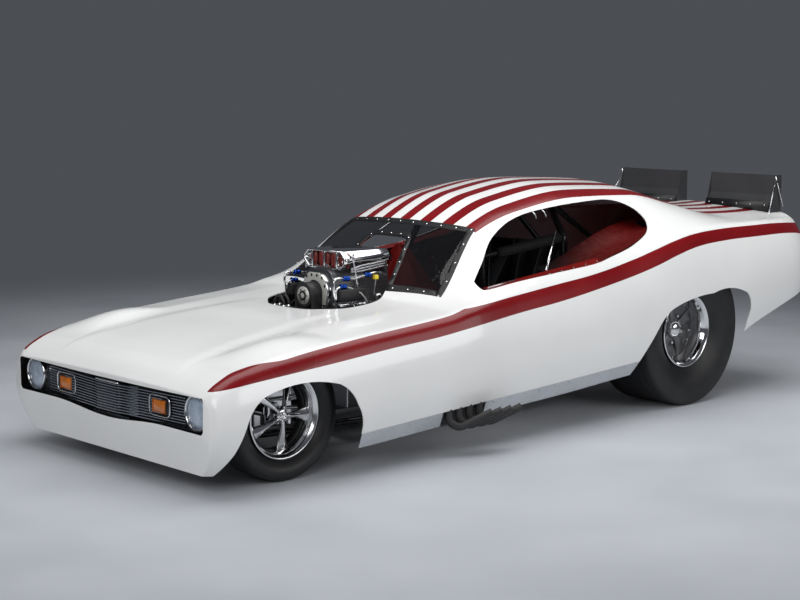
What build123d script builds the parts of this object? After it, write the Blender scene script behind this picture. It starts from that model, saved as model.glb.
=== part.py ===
"""Drag racing car with a tilting one-piece body.

Millimetres, +X forward, +Y to the car's left, +Z up. The origin is on the floor, under the middle of
the overall length. Heights are above the floor.
"""

import os
from math import cos, radians, sin

from build123d import *

os.makedirs("parts", exist_ok=True)

# Overall sizes
overall_length = 4740
front_overhang = 544
wheelbase = 2952
body_half_width = 910
skin = 5
panel_gap = 0.3
front_axle_x = overall_length / 2 - front_overhang
rear_axle_x = front_axle_x - wheelbase
tail_x = -overall_length / 2
nose_x = overall_length / 2
rear_overhang = rear_axle_x - tail_x

# Front wheels and tyres: places across the car are distances from its middle
front_tyre_radius = 310
front_tyre_inner_y = 550
front_tyre_outer_y = 740
front_rim_inner_y = 580
front_rim_outer_y = 719
front_lip_radius = 208.5
front_bead_radius = 192
front_axle_z = front_tyre_radius

# Rear wheels and tyres
rear_tyre_radius = 437
rear_tyre_inner_y = 480
rear_tyre_outer_y = 860
rear_rim_inner_y = 520
rear_rim_outer_y = 818
rear_lip_radius = 216
rear_bead_radius = 203
rear_axle_z = rear_tyre_radius
seat_gap = 0.3
running_gap = 0.05

# Steering
kingpin_y = 600
kingpin_radius = 8
steering_arm = 120
spindle_radius = 15

# Body hinge at the tail
hinge_x = tail_x + 220
hinge_z = 450
hinge_pin_radius = 8

# Chassis
rail_radius = 19
cross_radius = 16
rail_bend = 200
frame_half_width = 330
frame_front_half_width = 240
weld_gap = 0.3
firewall_x = front_axle_x - 1416
low_rail_z = 110

# Engine, measured from its front face back
engine_front_x = front_axle_x - 796
block_length = 600
plate_thick = 8
crank_z = 330

# Cross-sections of the body, from tail to nose. Insets are from body_half_width.
# x, sill inset, sill z, waist inset, waist z, shoulder inset, shoulder z, rail y, rail z, crown z
body_rows = (
    (tail_x, 140, 620, 120, 770, 220, 990, 620, 1030, 1065),
    (tail_x + 40, 100, 590, 80, 760, 180, 1020, 660, 1060, 1100),
    (rear_axle_x - 0.783 * rear_overhang, 60, 530, 30, 740, 130, 1035, 620, 1060, 1095),
    (rear_axle_x - 0.5016 * rear_overhang, 50, 430, 10, 710, 100, 1040, 550, 1070, 1105),
    (rear_axle_x - 0.18 * rear_overhang, 40, 300, 0, 680, 80, 1030, 500, 1155, 1205),
    (rear_axle_x + 176, 40, 270, 0, 630, 70, 965, 490, 1240, 1300),
    (rear_axle_x + 676, 50, 240, 0, 570, 70, 860, 490, 1255, 1318),
    (front_axle_x - 1776, 50, 207, 0, 520, 70, 800, 500, 1185, 1255),
    (front_axle_x - 1476, 50, 192, 0, 490, 70, 770, 520, 1075, 1135),
    (front_axle_x - 1116, 50, 172, 0, 450, 60, 735, 640, 770, 860),
    (front_axle_x - 976, 50, 165, 0, 440, 60, 722, 560, 737, 752),
    (front_axle_x - 336, 50, 130, 0, 380, 60, 674, 560, 688, 676),
    (front_axle_x - 4, 60, 120, 0, 360, 60, 645, 600, 668, 640),
    (front_axle_x + 324, 70, 115, 20, 340, 70, 587, 520, 592, 584),
    (nose_x - 90, 90, 115, 50, 330, 90, 535, 490, 535, 540),
    (nose_x - 30, 130, 125, 80, 330, 130, 490, 500, 495, 502),
    (nose_x, 220, 150, 150, 330, 200, 440, 500, 462, 470),
)
shoulder_round = 40

# Grille opening in the nose, half widths and heights
grille_half_width = 760
grille_top_z = 468
grille_bottom_z = 290
grille_drop_z = 262
grille_face_x = nose_x - 66


def frame_y(x):
    """Half width of the chassis between its rails' centres at x."""
    narrow_x = front_axle_x - 250
    if x <= firewall_x:
        return frame_half_width
    share = min((x - firewall_x) / (narrow_x - firewall_x), 1)
    return frame_half_width + (frame_front_half_width - frame_half_width) * share


def tube(points, radius, bend=0):
    """Add a round tube along a route, with its corners bent to one radius."""
    run = Vector(*points[1]) - Vector(*points[0])
    if len(points) == 2:
        with Locations(Plane(points[0], z_dir=run).location):
            Cylinder(radius, run.length, align=(Align.CENTER, Align.CENTER, Align.MIN))
        return
    with BuildLine() as route:
        FilletPolyline(*points, radius=bend)
    with BuildSketch(Plane(points[0], z_dir=run)) as ring:
        Circle(radius)
    sweep(ring.sketch, path=route.wire())


def block(low, high):
    """Add a box between two corners."""
    size = [b - a for a, b in zip(low, high)]
    with Locations(Vector([(a + b) / 2 for a, b in zip(low, high)])):
        Box(*size)


def ring_across(radius, start_y, end_y, x, z, mode=Mode.ADD):
    """Add a round bar that lies across the car."""
    with Locations(Plane((x, min(start_y, end_y), z), z_dir=(0, 1, 0)).location):
        Cylinder(radius, abs(end_y - start_y), align=(Align.CENTER, Align.CENTER, Align.MIN), mode=mode)


def section_points(row, wall):
    """The right-hand points of one body section, moved inward by the wall."""
    x, sill_in, sill_z, waist_in, waist_z, shoulder_in, shoulder_z, rail_y, rail_z, crown_z = row
    sill = Vector(body_half_width - sill_in - wall, sill_z)
    waist = Vector(body_half_width - waist_in - wall, waist_z)
    shoulder = Vector(body_half_width - shoulder_in - wall, shoulder_z - wall)
    rail = Vector(rail_y - wall, rail_z - wall)
    crown = Vector(0, crown_z - wall)
    return sill, waist, shoulder, rail, crown


def round_corner(before, corner, after, setback):
    """Start, middle and end of the arc that rounds a corner."""
    start_way = (before - corner).normalized()
    end_way = (after - corner).normalized()
    half_angle = radians(start_way.get_angle(end_way)) / 2
    middle_way = (start_way + end_way).normalized()
    depth = setback * (1 - sin(half_angle)) / cos(half_angle)
    return corner + start_way * setback, corner + middle_way * depth, corner + end_way * setback


def mirrored(point):
    """The same point on the other side of the car."""
    return Vector(-point.X, point.Y)


def body_section(row, wall=0, below=0):
    """One closed cross-section of the body; below carries it down past its sill."""
    sill, waist, shoulder, rail, crown = section_points(row, wall)
    arc_start, arc_middle, arc_end = round_corner(waist, shoulder, rail, shoulder_round)
    inward = wall * (1 if row[0] < 0 else -1)
    near_end = row[0] < tail_x + 100 or row[0] > nose_x - 100
    x = row[0] + (inward if near_end else 0)
    foot = sill - Vector(0, below)
    with BuildSketch(Plane((x, 0, 0), x_dir=(0, 1, 0), z_dir=(1, 0, 0))) as section:
        with BuildLine():
            ThreePointArc(sill, waist, arc_start)
            ThreePointArc(arc_start, arc_middle, arc_end)
            Line(arc_end, rail)
            ThreePointArc(rail, crown, mirrored(rail))
            Line(mirrored(rail), mirrored(arc_end))
            ThreePointArc(mirrored(arc_end), mirrored(arc_middle), mirrored(arc_start))
            ThreePointArc(mirrored(arc_start), mirrored(waist), mirrored(sill))
            if below:
                Line(mirrored(sill), mirrored(foot))
                Line(foot, sill)
            Line(mirrored(foot), foot)
        make_face()
    return section.sketch


# Outer form of the body, with the chin leaning back under the grille
chin_lean = 70
with BuildPart() as body_form:
    loft(sections=[body_section(row) for row in body_rows], ruled=True)
    with BuildSketch(Plane.XZ.offset(-body_half_width)) as chin:
        with BuildLine():
            Polyline(
                (nose_x - 20, grille_bottom_z),
                (nose_x - 20 - chin_lean, 0),
                (nose_x + 50, 0),
                (nose_x + 50, grille_bottom_z),
                close=True,
            )
        make_face()
    extrude(amount=2 * body_half_width, mode=Mode.SUBTRACT)

# Hollow inside of the body, open at the bottom
with BuildPart() as body_hollow:
    loft(sections=[body_section(row, skin, 200) for row in body_rows], ruled=True)
    with BuildSketch(Plane.XZ.offset(-body_half_width)) as inner_chin:
        with BuildLine():
            Polyline(
                (nose_x - 20 - skin, grille_bottom_z),
                (nose_x - 20 - chin_lean * (grille_bottom_z + 200) / grille_bottom_z - skin, -200),
                (nose_x + 50, -200),
                (nose_x + 50, grille_bottom_z),
                close=True,
            )
        make_face()
    extrude(amount=2 * body_half_width, mode=Mode.SUBTRACT)

# Side view outline of the front wheel arch, from the axle
with BuildPart() as front_arch:
    with BuildSketch(Plane.XZ.offset(-body_half_width - 50)):
        with BuildLine():
            Line((front_axle_x - 335, 50), (front_axle_x - 335, 243))
            Line((front_axle_x - 335, 243), (front_axle_x - 322, 300))
            ThreePointArc(
                (front_axle_x - 322, 300), (front_axle_x - 262, 400), (front_axle_x - 186, 464)
            )
            ThreePointArc(
                (front_axle_x - 186, 464), (front_axle_x - 6, 493), (front_axle_x + 244, 456)
            )
            ThreePointArc(
                (front_axle_x + 244, 456), (front_axle_x + 310, 410), (front_axle_x + 352, 338)
            )
            Line((front_axle_x + 352, 338), (front_axle_x + 490, 50))
            Line((front_axle_x + 490, 50), (front_axle_x - 335, 50))
        make_face()
    extrude(amount=2 * (body_half_width + 50))

# Side view outline of the rear wheel arch, from the axle
with BuildPart() as rear_arch:
    with BuildSketch(Plane.XZ.offset(-body_half_width - 50)):
        with BuildLine():
            Line((rear_axle_x + 611, 200), (rear_axle_x + 323, 560))
            ThreePointArc((rear_axle_x + 323, 560), (rear_axle_x + 220, 610), (rear_axle_x + 65, 641))
            ThreePointArc((rear_axle_x + 65, 641), (rear_axle_x - 127, 658), (rear_axle_x - 325, 666))
            ThreePointArc((rear_axle_x - 325, 666), (rear_axle_x - 470, 630), (rear_axle_x - 527, 518))
            Line((rear_axle_x - 527, 518), (rear_axle_x - 505, 200))
            Line((rear_axle_x - 505, 200), (rear_axle_x + 611, 200))
        make_face()
    extrude(amount=2 * (body_half_width + 50))

# Side windows
with BuildPart() as side_windows:
    with BuildSketch(Plane.XZ.offset(-body_half_width - 50)):
        with BuildLine():
            Line((front_axle_x - 1291, 802), (front_axle_x - 1286, 838))
            Line((front_axle_x - 1286, 838), (front_axle_x - 1492, 1013))
            ThreePointArc(
                (front_axle_x - 1492, 1013), (front_axle_x - 1647, 1102), (front_axle_x - 1883, 1166)
            )
            ThreePointArc(
                (front_axle_x - 1883, 1166), (rear_axle_x + 823, 1193), (rear_axle_x + 428, 1210)
            )
            ThreePointArc(
                (rear_axle_x + 428, 1210), (rear_axle_x + 268, 1178), (rear_axle_x + 221, 1118)
            )
            ThreePointArc(
                (rear_axle_x + 221, 1118), (rear_axle_x + 238, 1068), (rear_axle_x + 307, 1022)
            )
            ThreePointArc(
                (rear_axle_x + 307, 1022), (rear_axle_x + 521, 947), (rear_axle_x + 824, 884)
            )
            ThreePointArc(
                (rear_axle_x + 824, 884), (front_axle_x - 1750, 855), (front_axle_x - 1291, 802)
            )
        make_face()
    extrude(amount=2 * (body_half_width + 50))

# Plan view outline of the windscreen
screen_foot_x = front_axle_x - 1106
screen_top_x = front_axle_x - 1496
with BuildPart() as screen_form:
    with BuildSketch(Plane.XY.offset(700)):
        with BuildLine():
            ThreePointArc((screen_foot_x, 630), (screen_foot_x + 90, 0), (screen_foot_x, -630))
            Line((screen_foot_x, -630), (screen_top_x, -490))
            ThreePointArc((screen_top_x, -490), (screen_top_x + 53, 0), (screen_top_x, 490))
            Line((screen_top_x, 490), (screen_foot_x, 630))
        make_face()
    extrude(amount=600)

# Opening for the engine in the hood and in the foot of the windscreen
with BuildPart() as engine_opening:
    with BuildSketch(Plane.XY.offset(600)):
        with BuildLine():
            FilletPolyline(
                (front_axle_x - 1326, -150),
                (front_axle_x - 1036, -292),
                (front_axle_x - 916, -338),
                (front_axle_x - 736, -312),
                (front_axle_x - 606, -150),
                (front_axle_x - 606, 150),
                (front_axle_x - 736, 312),
                (front_axle_x - 916, 338),
                (front_axle_x - 1036, 292),
                (front_axle_x - 1326, 150),
                radius=(40, 200, 120, 120, 60, 60, 120, 120, 200, 40),
                close=True,
            )
        make_face()
    extrude(amount=600)

# Opening for the grille
with BuildPart() as grille_opening:
    with BuildSketch(Plane((nose_x + 50, 0, 0), x_dir=(0, 1, 0), z_dir=(1, 0, 0))):
        with BuildLine():
            ThreePointArc(
                (-grille_half_width, grille_top_z), (0, grille_top_z - 16), (grille_half_width, grille_top_z)
            )
            Polyline(
                (grille_half_width, grille_top_z),
                (grille_half_width, grille_bottom_z),
                (250, grille_bottom_z),
                (150, grille_drop_z),
                (-150, grille_drop_z),
                (-250, grille_bottom_z),
                (-grille_half_width, grille_bottom_z),
                (-grille_half_width, grille_top_z),
            )
        make_face()
    extrude(amount=-160)

# Rocker strips, low on each side between the arches, and the gap for the exhaust pipes
pipe_gap_front_x = front_axle_x - 846
pipe_gap_rear_x = front_axle_x - 1196
with BuildPart() as rocker_band:
    with BuildSketch(Plane.XZ.offset(-body_half_width - 50)):
        with BuildLine():
            Polyline(
                (front_axle_x - 300, 60),
                (front_axle_x - 300, 202),
                (rear_axle_x + 560, 318),
                (rear_axle_x + 560, 60),
                close=True,
            )
        make_face()
    extrude(amount=2 * (body_half_width + 50))
with BuildPart() as pipe_gap:
    block(
        (pipe_gap_rear_x, -body_half_width - 50, 50),
        (pipe_gap_front_x, body_half_width + 50, 300),
    )

# Tail panel and lamps, set in the flat of the tail
tail_panel_half_width = 600
tail_panel_low_z = 720
tail_panel_high_z = 930
with BuildPart() as tail_opening:
    block(
        (tail_x - 50, -tail_panel_half_width, tail_panel_low_z),
        (tail_x + 2 * skin, tail_panel_half_width, tail_panel_high_z),
    )

# The whole skin, before its openings
with BuildPart() as body_skin:
    add(body_form.part)
    add(body_hollow.part, mode=Mode.SUBTRACT)

with BuildPart() as body_shell:
    add(body_skin.part)
    add(front_arch.part, mode=Mode.SUBTRACT)
    add(rear_arch.part, mode=Mode.SUBTRACT)
    add(side_windows.part, mode=Mode.SUBTRACT)
    add(screen_form.part, mode=Mode.SUBTRACT)
    add(engine_opening.part, mode=Mode.SUBTRACT)
    add(grille_opening.part, mode=Mode.SUBTRACT)
    add(rocker_band.part, mode=Mode.SUBTRACT)
    add(pipe_gap.part, mode=Mode.SUBTRACT)
    add(tail_opening.part, mode=Mode.SUBTRACT)
body_shell.part.label = "body_shell"
export_step(body_shell.part, "parts/body_shell.step")

with BuildPart() as windscreen:
    add(body_skin.part)
    add(screen_form.part, mode=Mode.INTERSECT)
    add(engine_opening.part, mode=Mode.SUBTRACT)
windscreen.part.label = "windscreen"
export_step(windscreen.part, "parts/windscreen.step")

with BuildPart() as rocker_panels:
    add(body_skin.part)
    add(rocker_band.part, mode=Mode.INTERSECT)
    add(front_arch.part, mode=Mode.SUBTRACT)
    add(rear_arch.part, mode=Mode.SUBTRACT)
    add(pipe_gap.part, mode=Mode.SUBTRACT)
rocker_panels.part.label = "rocker_panels"
export_step(rocker_panels.part, "parts/rocker_panels.step")

# Grille: a dark back plate with fine bars and a centre box, behind the opening
bar_pitch = 13
bar_height = 4
bar_depth = 12
grille_plate = 4
with BuildPart() as grille:
    block(
        (grille_face_x - grille_plate, -body_half_width, grille_drop_z - 60),
        (grille_face_x, body_half_width, grille_top_z + 200),
    )
    add(body_hollow.part, mode=Mode.INTERSECT)
    bar_z = grille_bottom_z + bar_pitch / 2
    while bar_z < grille_top_z - bar_pitch:
        block((grille_face_x, -575, bar_z), (grille_face_x + bar_depth, 575, bar_z + bar_height))
        bar_z += bar_pitch
    with BuildSketch(Plane.XY.offset(grille_bottom_z)):
        with BuildLine():
            Polyline(
                (grille_face_x, -190),
                (grille_face_x + 45, -90),
                (grille_face_x + 45, 90),
                (grille_face_x, 190),
                close=True,
            )
        make_face()
    extrude(amount=grille_top_z - grille_bottom_z - 30)
grille.part.label = "grille"
export_step(grille.part, "parts/grille.step")

# Headlamps and parking lamps
headlamp_y = 677
headlamp_z = 385
headlamp_radius = 82
headlamp_depth = 26
with BuildPart() as headlamps:
    for side in (1, -1):
        with Locations(Plane((grille_face_x, side * headlamp_y, headlamp_z), z_dir=(1, 0, 0)).location):
            Cylinder(headlamp_radius, headlamp_depth, align=(Align.CENTER, Align.CENTER, Align.MIN))
    fillet(headlamps.faces().filter_by(Axis.X).sort_by(Axis.X)[-2:].edges(), radius=8)
headlamps.part.label = "headlamps"
export_step(headlamps.part, "parts/headlamps.step")

parking_y = 399
parking_z = 374
parking_half_width = 80
parking_half_height = 47
with BuildPart() as parking_lamps:
    for side in (1, -1):
        block(
            (grille_face_x + bar_depth, side * parking_y - parking_half_width, parking_z - parking_half_height),
            (grille_face_x + bar_depth + 16, side * parking_y + parking_half_width, parking_z + parking_half_height),
        )
    fillet(parking_lamps.edges().filter_by(Axis.X), radius=30)
parking_lamps.part.label = "parking_lamps"
export_step(parking_lamps.part, "parts/parking_lamps.step")

# Rear spoilers, standing on the deck
with BuildPart() as spoilers:
    for side in (1, -1):
        with BuildSketch(Plane.XZ.offset(-side * 120)) as blade:
            with BuildLine():
                Polyline(
                    (tail_x + 150, 1040),
                    (tail_x + 100, 1175),
                    (tail_x + 90, 1300),
                    (tail_x + 94, 1300),
                    (tail_x + 104, 1175),
                    (tail_x + 154, 1040),
                    close=True,
                )
            make_face()
        extrude(amount=-side * 500)
        for end_y in (side * 120, side * 616):
            with BuildSketch(Plane.XZ.offset(-end_y)) as fence:
                with BuildLine():
                    Polyline(
                        (tail_x + 152, 1040),
                        (tail_x + 92, 1300),
                        (tail_x + 30, 1300),
                        (tail_x + 30, 1040),
                        close=True,
                    )
                make_face()
            extrude(amount=-side * 4)
    add(body_form.part, mode=Mode.SUBTRACT)
spoilers.part.label = "spoilers"
export_step(spoilers.part, "parts/spoilers.step")

# Tail panel with two lamp recesses
lamp_inner_y = 230
lamp_outer_y = 560
with BuildPart() as tail_panel:
    block(
        (tail_x, -tail_panel_half_width + panel_gap, tail_panel_low_z + panel_gap),
        (tail_x + skin, tail_panel_half_width - panel_gap, tail_panel_high_z - panel_gap),
    )
    for side in (1, -1):
        low_y, high_y = sorted((side * lamp_inner_y, side * lamp_outer_y))
        with Locations((tail_x + skin / 2, (low_y + high_y) / 2, 825)):
            Box(skin, high_y - low_y, 110, mode=Mode.SUBTRACT)
tail_panel.part.label = "tail_panel"
export_step(tail_panel.part, "parts/tail_panel.step")

with BuildPart() as tail_lamps:
    for side in (1, -1):
        low_y, high_y = sorted((side * lamp_inner_y, side * lamp_outer_y))
        block(
            (tail_x, low_y + panel_gap, 770 + panel_gap),
            (tail_x + 3 * skin, high_y - panel_gap, 880 - panel_gap),
        )
tail_lamps.part.label = "tail_lamps"
export_step(tail_lamps.part, "parts/tail_lamps.step")

# Hinge arms, from the tail's inner face down to the pivot
arm_y = 250
arm_thick = 8
lug_gap = 0.3
hinge_foot_z = 640
hinge_head_z = tail_panel_low_z - 8
with BuildPart() as body_hinges:
    for side in (1, -1):
        with BuildSketch(Plane.XZ.offset(-side * (arm_y + arm_thick / 2))):
            with BuildLine():
                Polyline(
                    (hinge_x + 22, hinge_z - 8),
                    (hinge_x - 12, hinge_z - 22),
                    (tail_x + skin, hinge_foot_z),
                    (tail_x + skin, hinge_head_z),
                    (tail_x + skin + 30, hinge_head_z),
                    close=True,
                )
            make_face()
        extrude(amount=side * arm_thick)
        ring_across(24, side * (arm_y - arm_thick / 2), side * (arm_y + arm_thick / 2), hinge_x, hinge_z)
        ring_across(
            hinge_pin_radius + running_gap,
            side * (arm_y - arm_thick),
            side * (arm_y + arm_thick),
            hinge_x,
            hinge_z,
            Mode.SUBTRACT,
        )
        block(
            (tail_x + skin, side * arm_y - 40, hinge_foot_z),
            (tail_x + skin + 4, side * arm_y + 40, hinge_head_z),
        )
body_hinges.part.label = "body_hinges"
export_step(body_hinges.part, "parts/body_hinges.step")

# Red ledges along the lower edge of the side windows
with BuildPart() as window_ledges:
    for side in (1, -1):
        with BuildSketch(Plane.XZ.offset(-side * 690)):
            with BuildLine():
                Polyline(
                    (front_axle_x - 1350, 803),
                    (rear_axle_x + 700, 900),
                    (rear_axle_x + 700, 896),
                    (front_axle_x - 1350, 799),
                    close=True,
                )
            make_face()
        extrude(amount=-side * 200)
    add(body_hollow.part, mode=Mode.INTERSECT)
window_ledges.part.label = "window_ledges"
export_step(window_ledges.part, "parts/window_ledges.step")

# Side frames: a low and a high rail with uprights, and the tail extension to the hinge
rail_low = (
    (rear_axle_x - 300, low_rail_z + 260),
    (rear_axle_x + 300, low_rail_z),
    (firewall_x, low_rail_z),
    (front_axle_x - 250, low_rail_z),
    (front_axle_x + 170, low_rail_z + 70),
)
rail_high = (
    (hinge_x, hinge_z),
    (rear_axle_x - 300, 560),
    (rear_axle_x + 300, 440),
    (firewall_x, 420),
    (front_axle_x - 250, 410),
    (front_axle_x + 170, 400),
)


def rail_z(rail, x):
    """Height of a rail's centre at x."""
    for (x1, z1), (x2, z2) in zip(rail, rail[1:]):
        if x1 <= x <= x2:
            return z1 + (z2 - z1) * (x - x1) / (x2 - x1)
    return rail[-1][1]


upright_xs = (
    rear_axle_x - 300,
    rear_axle_x + 300,
    rear_axle_x + 700,
    rear_axle_x + 1100,
    firewall_x,
    front_axle_x - 1000,
    front_axle_x - 620,
    front_axle_x - 250,
    front_axle_x + 170,
)
axle_housing_radius = 45
rail_front_x = front_axle_x + 170
eye_x = rail_front_x + 38
eye_radius = 12
eye_thick = 8
eye_neck = 15
with BuildPart() as side_frame:
    tube([(x, frame_y(x), z) for x, z in rail_low], rail_radius, rail_bend)
    tube([(x, frame_y(x), z) for x, z in rail_high], rail_radius, rail_bend)
    for x in upright_xs:
        y = frame_y(x)
        tube([(x, y, rail_z(rail_low, x)), (x, y, rail_z(rail_high, x))], cross_radius)
    with Locations((rear_axle_x, frame_half_width, rear_axle_z - 70)):
        Box(140, 12, 280)
    eye_y = frame_front_half_width
    eye_z = rail_z(rail_low, rail_front_x)
    block(
        (rail_front_x - 10, eye_y - eye_neck, eye_z - eye_thick / 2),
        (eye_x, eye_y + eye_neck, eye_z + eye_thick / 2),
    )
    with Locations((eye_x, eye_y, eye_z)):
        Cylinder(rail_radius + 3, eye_thick)
        Cylinder(eye_radius, eye_thick, mode=Mode.SUBTRACT)
    ring_across(
        axle_housing_radius + seat_gap,
        frame_half_width - 60,
        frame_half_width + 60,
        rear_axle_x,
        rear_axle_z,
        Mode.SUBTRACT,
    )
side_frame.part.label = "side_frame_left"
export_step(side_frame.part, "parts/side_frame_left.step")
with BuildPart() as side_frame_right:
    mirror(side_frame.part, about=Plane.XZ)
side_frame_right.part.label = "side_frame_right"
export_step(side_frame_right.part, "parts/side_frame_right.step")

# Cross tubes between the side frames. The last one, at the tail, has a lug beside each hinge arm, and the pins.
cross_places = (
    (rear_axle_x - 300, rail_low),
    (rear_axle_x + 300, rail_low),
    (rear_axle_x + 520, rail_high),
    (rear_axle_x + 700, rail_low),
    (firewall_x, rail_low),
    (front_axle_x - 620, rail_low),
    (front_axle_x - 250, rail_low),
    (front_axle_x - 250, rail_high),
    (front_axle_x + 170, rail_low),
    (front_axle_x + 170, rail_high),
)
with BuildPart() as cross_tubes:
    for x, rail in cross_places:
        inside_y = frame_y(x + cross_radius) - rail_radius - weld_gap
        ring_across(cross_radius, -inside_y, inside_y, x, rail_z(rail, x))
    inside_y = frame_half_width - rail_radius - weld_gap
    ring_across(cross_radius, -inside_y, inside_y, hinge_x + 60, rail_z(rail_high, hinge_x + 60))
    for side in (1, -1):
        for lug_y in (arm_y - arm_thick / 2 - lug_gap - 8, arm_y + arm_thick / 2 + lug_gap):
            low_y, high_y = sorted((side * lug_y, side * (lug_y + 8)))
            ring_across(20, low_y, high_y, hinge_x, hinge_z)
            block((hinge_x, low_y, hinge_z - 12), (hinge_x + 60, high_y, hinge_z + 14))
        ring_across(
            hinge_pin_radius,
            side * (arm_y - arm_thick / 2 - 12),
            side * (arm_y + arm_thick / 2 + 12),
            hinge_x,
            hinge_z,
        )
cross_tubes.part.label = "cross_tubes"
export_step(cross_tubes.part, "parts/cross_tubes.step")

# Roll cage around the driver
hoop_x = rear_axle_x + 520
brow_x = firewall_x - 330
hoop_top_z = 1185
brow_top_z = 1110
cage_bend = 90
foot_rise = 0.4
brace_x = rear_axle_x - 260
brace_rise = 3.5
with BuildPart() as roll_cage:
    for x, top_z in ((hoop_x, hoop_top_z), (brow_x, brow_top_z)):
        foot_z = rail_z(rail_high, x) + rail_radius + weld_gap + foot_rise
        tube(
            [
                (x, -frame_half_width, foot_z),
                (x, -frame_half_width, foot_z + 60),
                (x, -300, top_z - 200),
                (x, -170, top_z),
                (x, 170, top_z),
                (x, 300, top_z - 200),
                (x, frame_half_width, foot_z + 60),
                (x, frame_half_width, foot_z),
            ],
            rail_radius,
            cage_bend,
        )
    for side in (1, -1):
        tube([(hoop_x, side * 170, hoop_top_z), (brow_x, side * 170, brow_top_z)], rail_radius)
        tube([(hoop_x, side * 300, hoop_top_z - 200), (brow_x, side * 300, brow_top_z - 200)], cross_radius)
        foot_z = rail_z(rail_high, brace_x) + rail_radius + weld_gap + brace_rise
        tube(
            [
                (hoop_x, side * 170, hoop_top_z),
                (brace_x, side * frame_half_width, foot_z + 60),
                (brace_x, side * frame_half_width, foot_z),
            ],
            cross_radius,
            40,
        )
roll_cage.part.label = "roll_cage"
export_step(roll_cage.part, "parts/roll_cage.step")

# Front axle: the beam with the bosses that hold the kingpins, and the radius rods that run from
# collars on the beam back to brackets on the side frames
beam_radius = 28
boss_radius = 24
boss_height = 70
rod_rear_x = front_axle_x - 620
with BuildPart() as front_axle:
    ring_across(beam_radius, -kingpin_y + 20, kingpin_y - 20, front_axle_x, front_axle_z)
    for side in (1, -1):
        with Locations((front_axle_x, side * kingpin_y, front_axle_z)):
            Cylinder(boss_radius, boss_height)
            Cylinder(kingpin_radius + running_gap, boss_height, mode=Mode.SUBTRACT)
    for side in (1, -1):
        for rise in (14, -14):
            tube(
                [
                    (front_axle_x - beam_radius + 4, side * 420, front_axle_z + rise),
                    (rod_rear_x, side * (frame_y(rod_rear_x) + 30), 258 + rise * 3),
                ],
                9,
            )
        ring_across(beam_radius + 12, side * 400, side * 440, front_axle_x, front_axle_z)
        bracket_y = frame_y(rod_rear_x) + cross_radius + weld_gap
        low_y, high_y = sorted((side * bracket_y, side * (bracket_y + 24)))
        block((rod_rear_x - 20, low_y, 200), (rod_rear_x + 20, high_y, 320))
front_axle.part.label = "front_axle"
export_step(front_axle.part, "parts/front_axle.step")

# Rear axle housing, with the shaft's bore right through, and a brake caliper at each end
shaft_radius = 20
housing_end_y = 585
disc_y = 605
disc_radius = 150
disc_thick = 12
pad_gap = 1
with BuildPart() as rear_axle_housing:
    ring_across(axle_housing_radius, -housing_end_y, housing_end_y, rear_axle_x, rear_axle_z)
    with Locations((rear_axle_x, 0, rear_axle_z)):
        Sphere(135)
    with Locations(Plane((rear_axle_x + 110, 0, rear_axle_z - 20), z_dir=(1, 0, 0)).location):
        Cylinder(60, 80, align=(Align.CENTER, Align.CENTER, Align.MIN))
    ring_across(
        shaft_radius + running_gap,
        -housing_end_y,
        housing_end_y,
        rear_axle_x,
        rear_axle_z,
        Mode.SUBTRACT,
    )
    for side in (1, -1):
        low_y, high_y = sorted((side * (housing_end_y - 30), side * (disc_y - pad_gap)))
        block((rear_axle_x + 60, low_y, rear_axle_z - 40), (rear_axle_x + 165, high_y, rear_axle_z + 40))
        low_y, high_y = sorted((side * (disc_y + disc_thick + pad_gap), side * (disc_y + disc_thick + 20)))
        block((rear_axle_x + 90, low_y, rear_axle_z - 40), (rear_axle_x + 165, high_y, rear_axle_z + 40))
        low_y, high_y = sorted((side * (housing_end_y - 30), side * (disc_y + disc_thick + 20)))
        block(
            (rear_axle_x + disc_radius + 5, low_y, rear_axle_z - 40),
            (rear_axle_x + disc_radius + 20, high_y, rear_axle_z + 40),
        )
        low_y, high_y = sorted((side * (housing_end_y - 30), side * (housing_end_y - 18)))
        block((rear_axle_x + 30, low_y, rear_axle_z - 30), (rear_axle_x + 62, high_y, rear_axle_z + 30))
rear_axle_housing.part.label = "rear_axle_housing"
export_step(rear_axle_housing.part, "parts/rear_axle_housing.step")

# Engine
engine_rear_x = engine_front_x - block_length
deck_width = 170
deck_low = Vector(215, 475)
deck_way = Vector(-1, 1).normalized()
deck_out = Vector(1, 1).normalized()
deck_high = deck_low + deck_way * deck_width
with BuildPart() as engine_block:
    with BuildSketch(Plane((engine_rear_x, 0, 0), x_dir=(0, 1, 0), z_dir=(1, 0, 0))):
        with BuildLine():
            Polyline(
                (140, crank_z - 80),
                (140, 400),
                deck_low,
                deck_high,
                mirrored(deck_high),
                mirrored(deck_low),
                (-140, 400),
                (-140, crank_z - 80),
                close=True,
            )
        make_face()
    extrude(amount=block_length)
    block((engine_rear_x + 60, -110, 135), (engine_front_x - 60, 110, crank_z - 80))
engine_block.part.label = "engine_block"
export_step(engine_block.part, "parts/engine_block.step")

head_height = 130
head_middle = deck_low + deck_way * (deck_width / 2) + deck_out * (head_height / 2 + seat_gap)
with BuildPart() as cylinder_heads:
    for side in (1, -1):
        slope = Plane(
            ((engine_front_x + engine_rear_x) / 2, side * head_middle.X, head_middle.Y),
            x_dir=(1, 0, 0),
            z_dir=(0, side, 1),
        )
        with Locations(slope.location):
            Box(block_length - 40, deck_width, head_height)
cylinder_heads.part.label = "cylinder_heads"
export_step(cylinder_heads.part, "parts/cylinder_heads.step")

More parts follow.
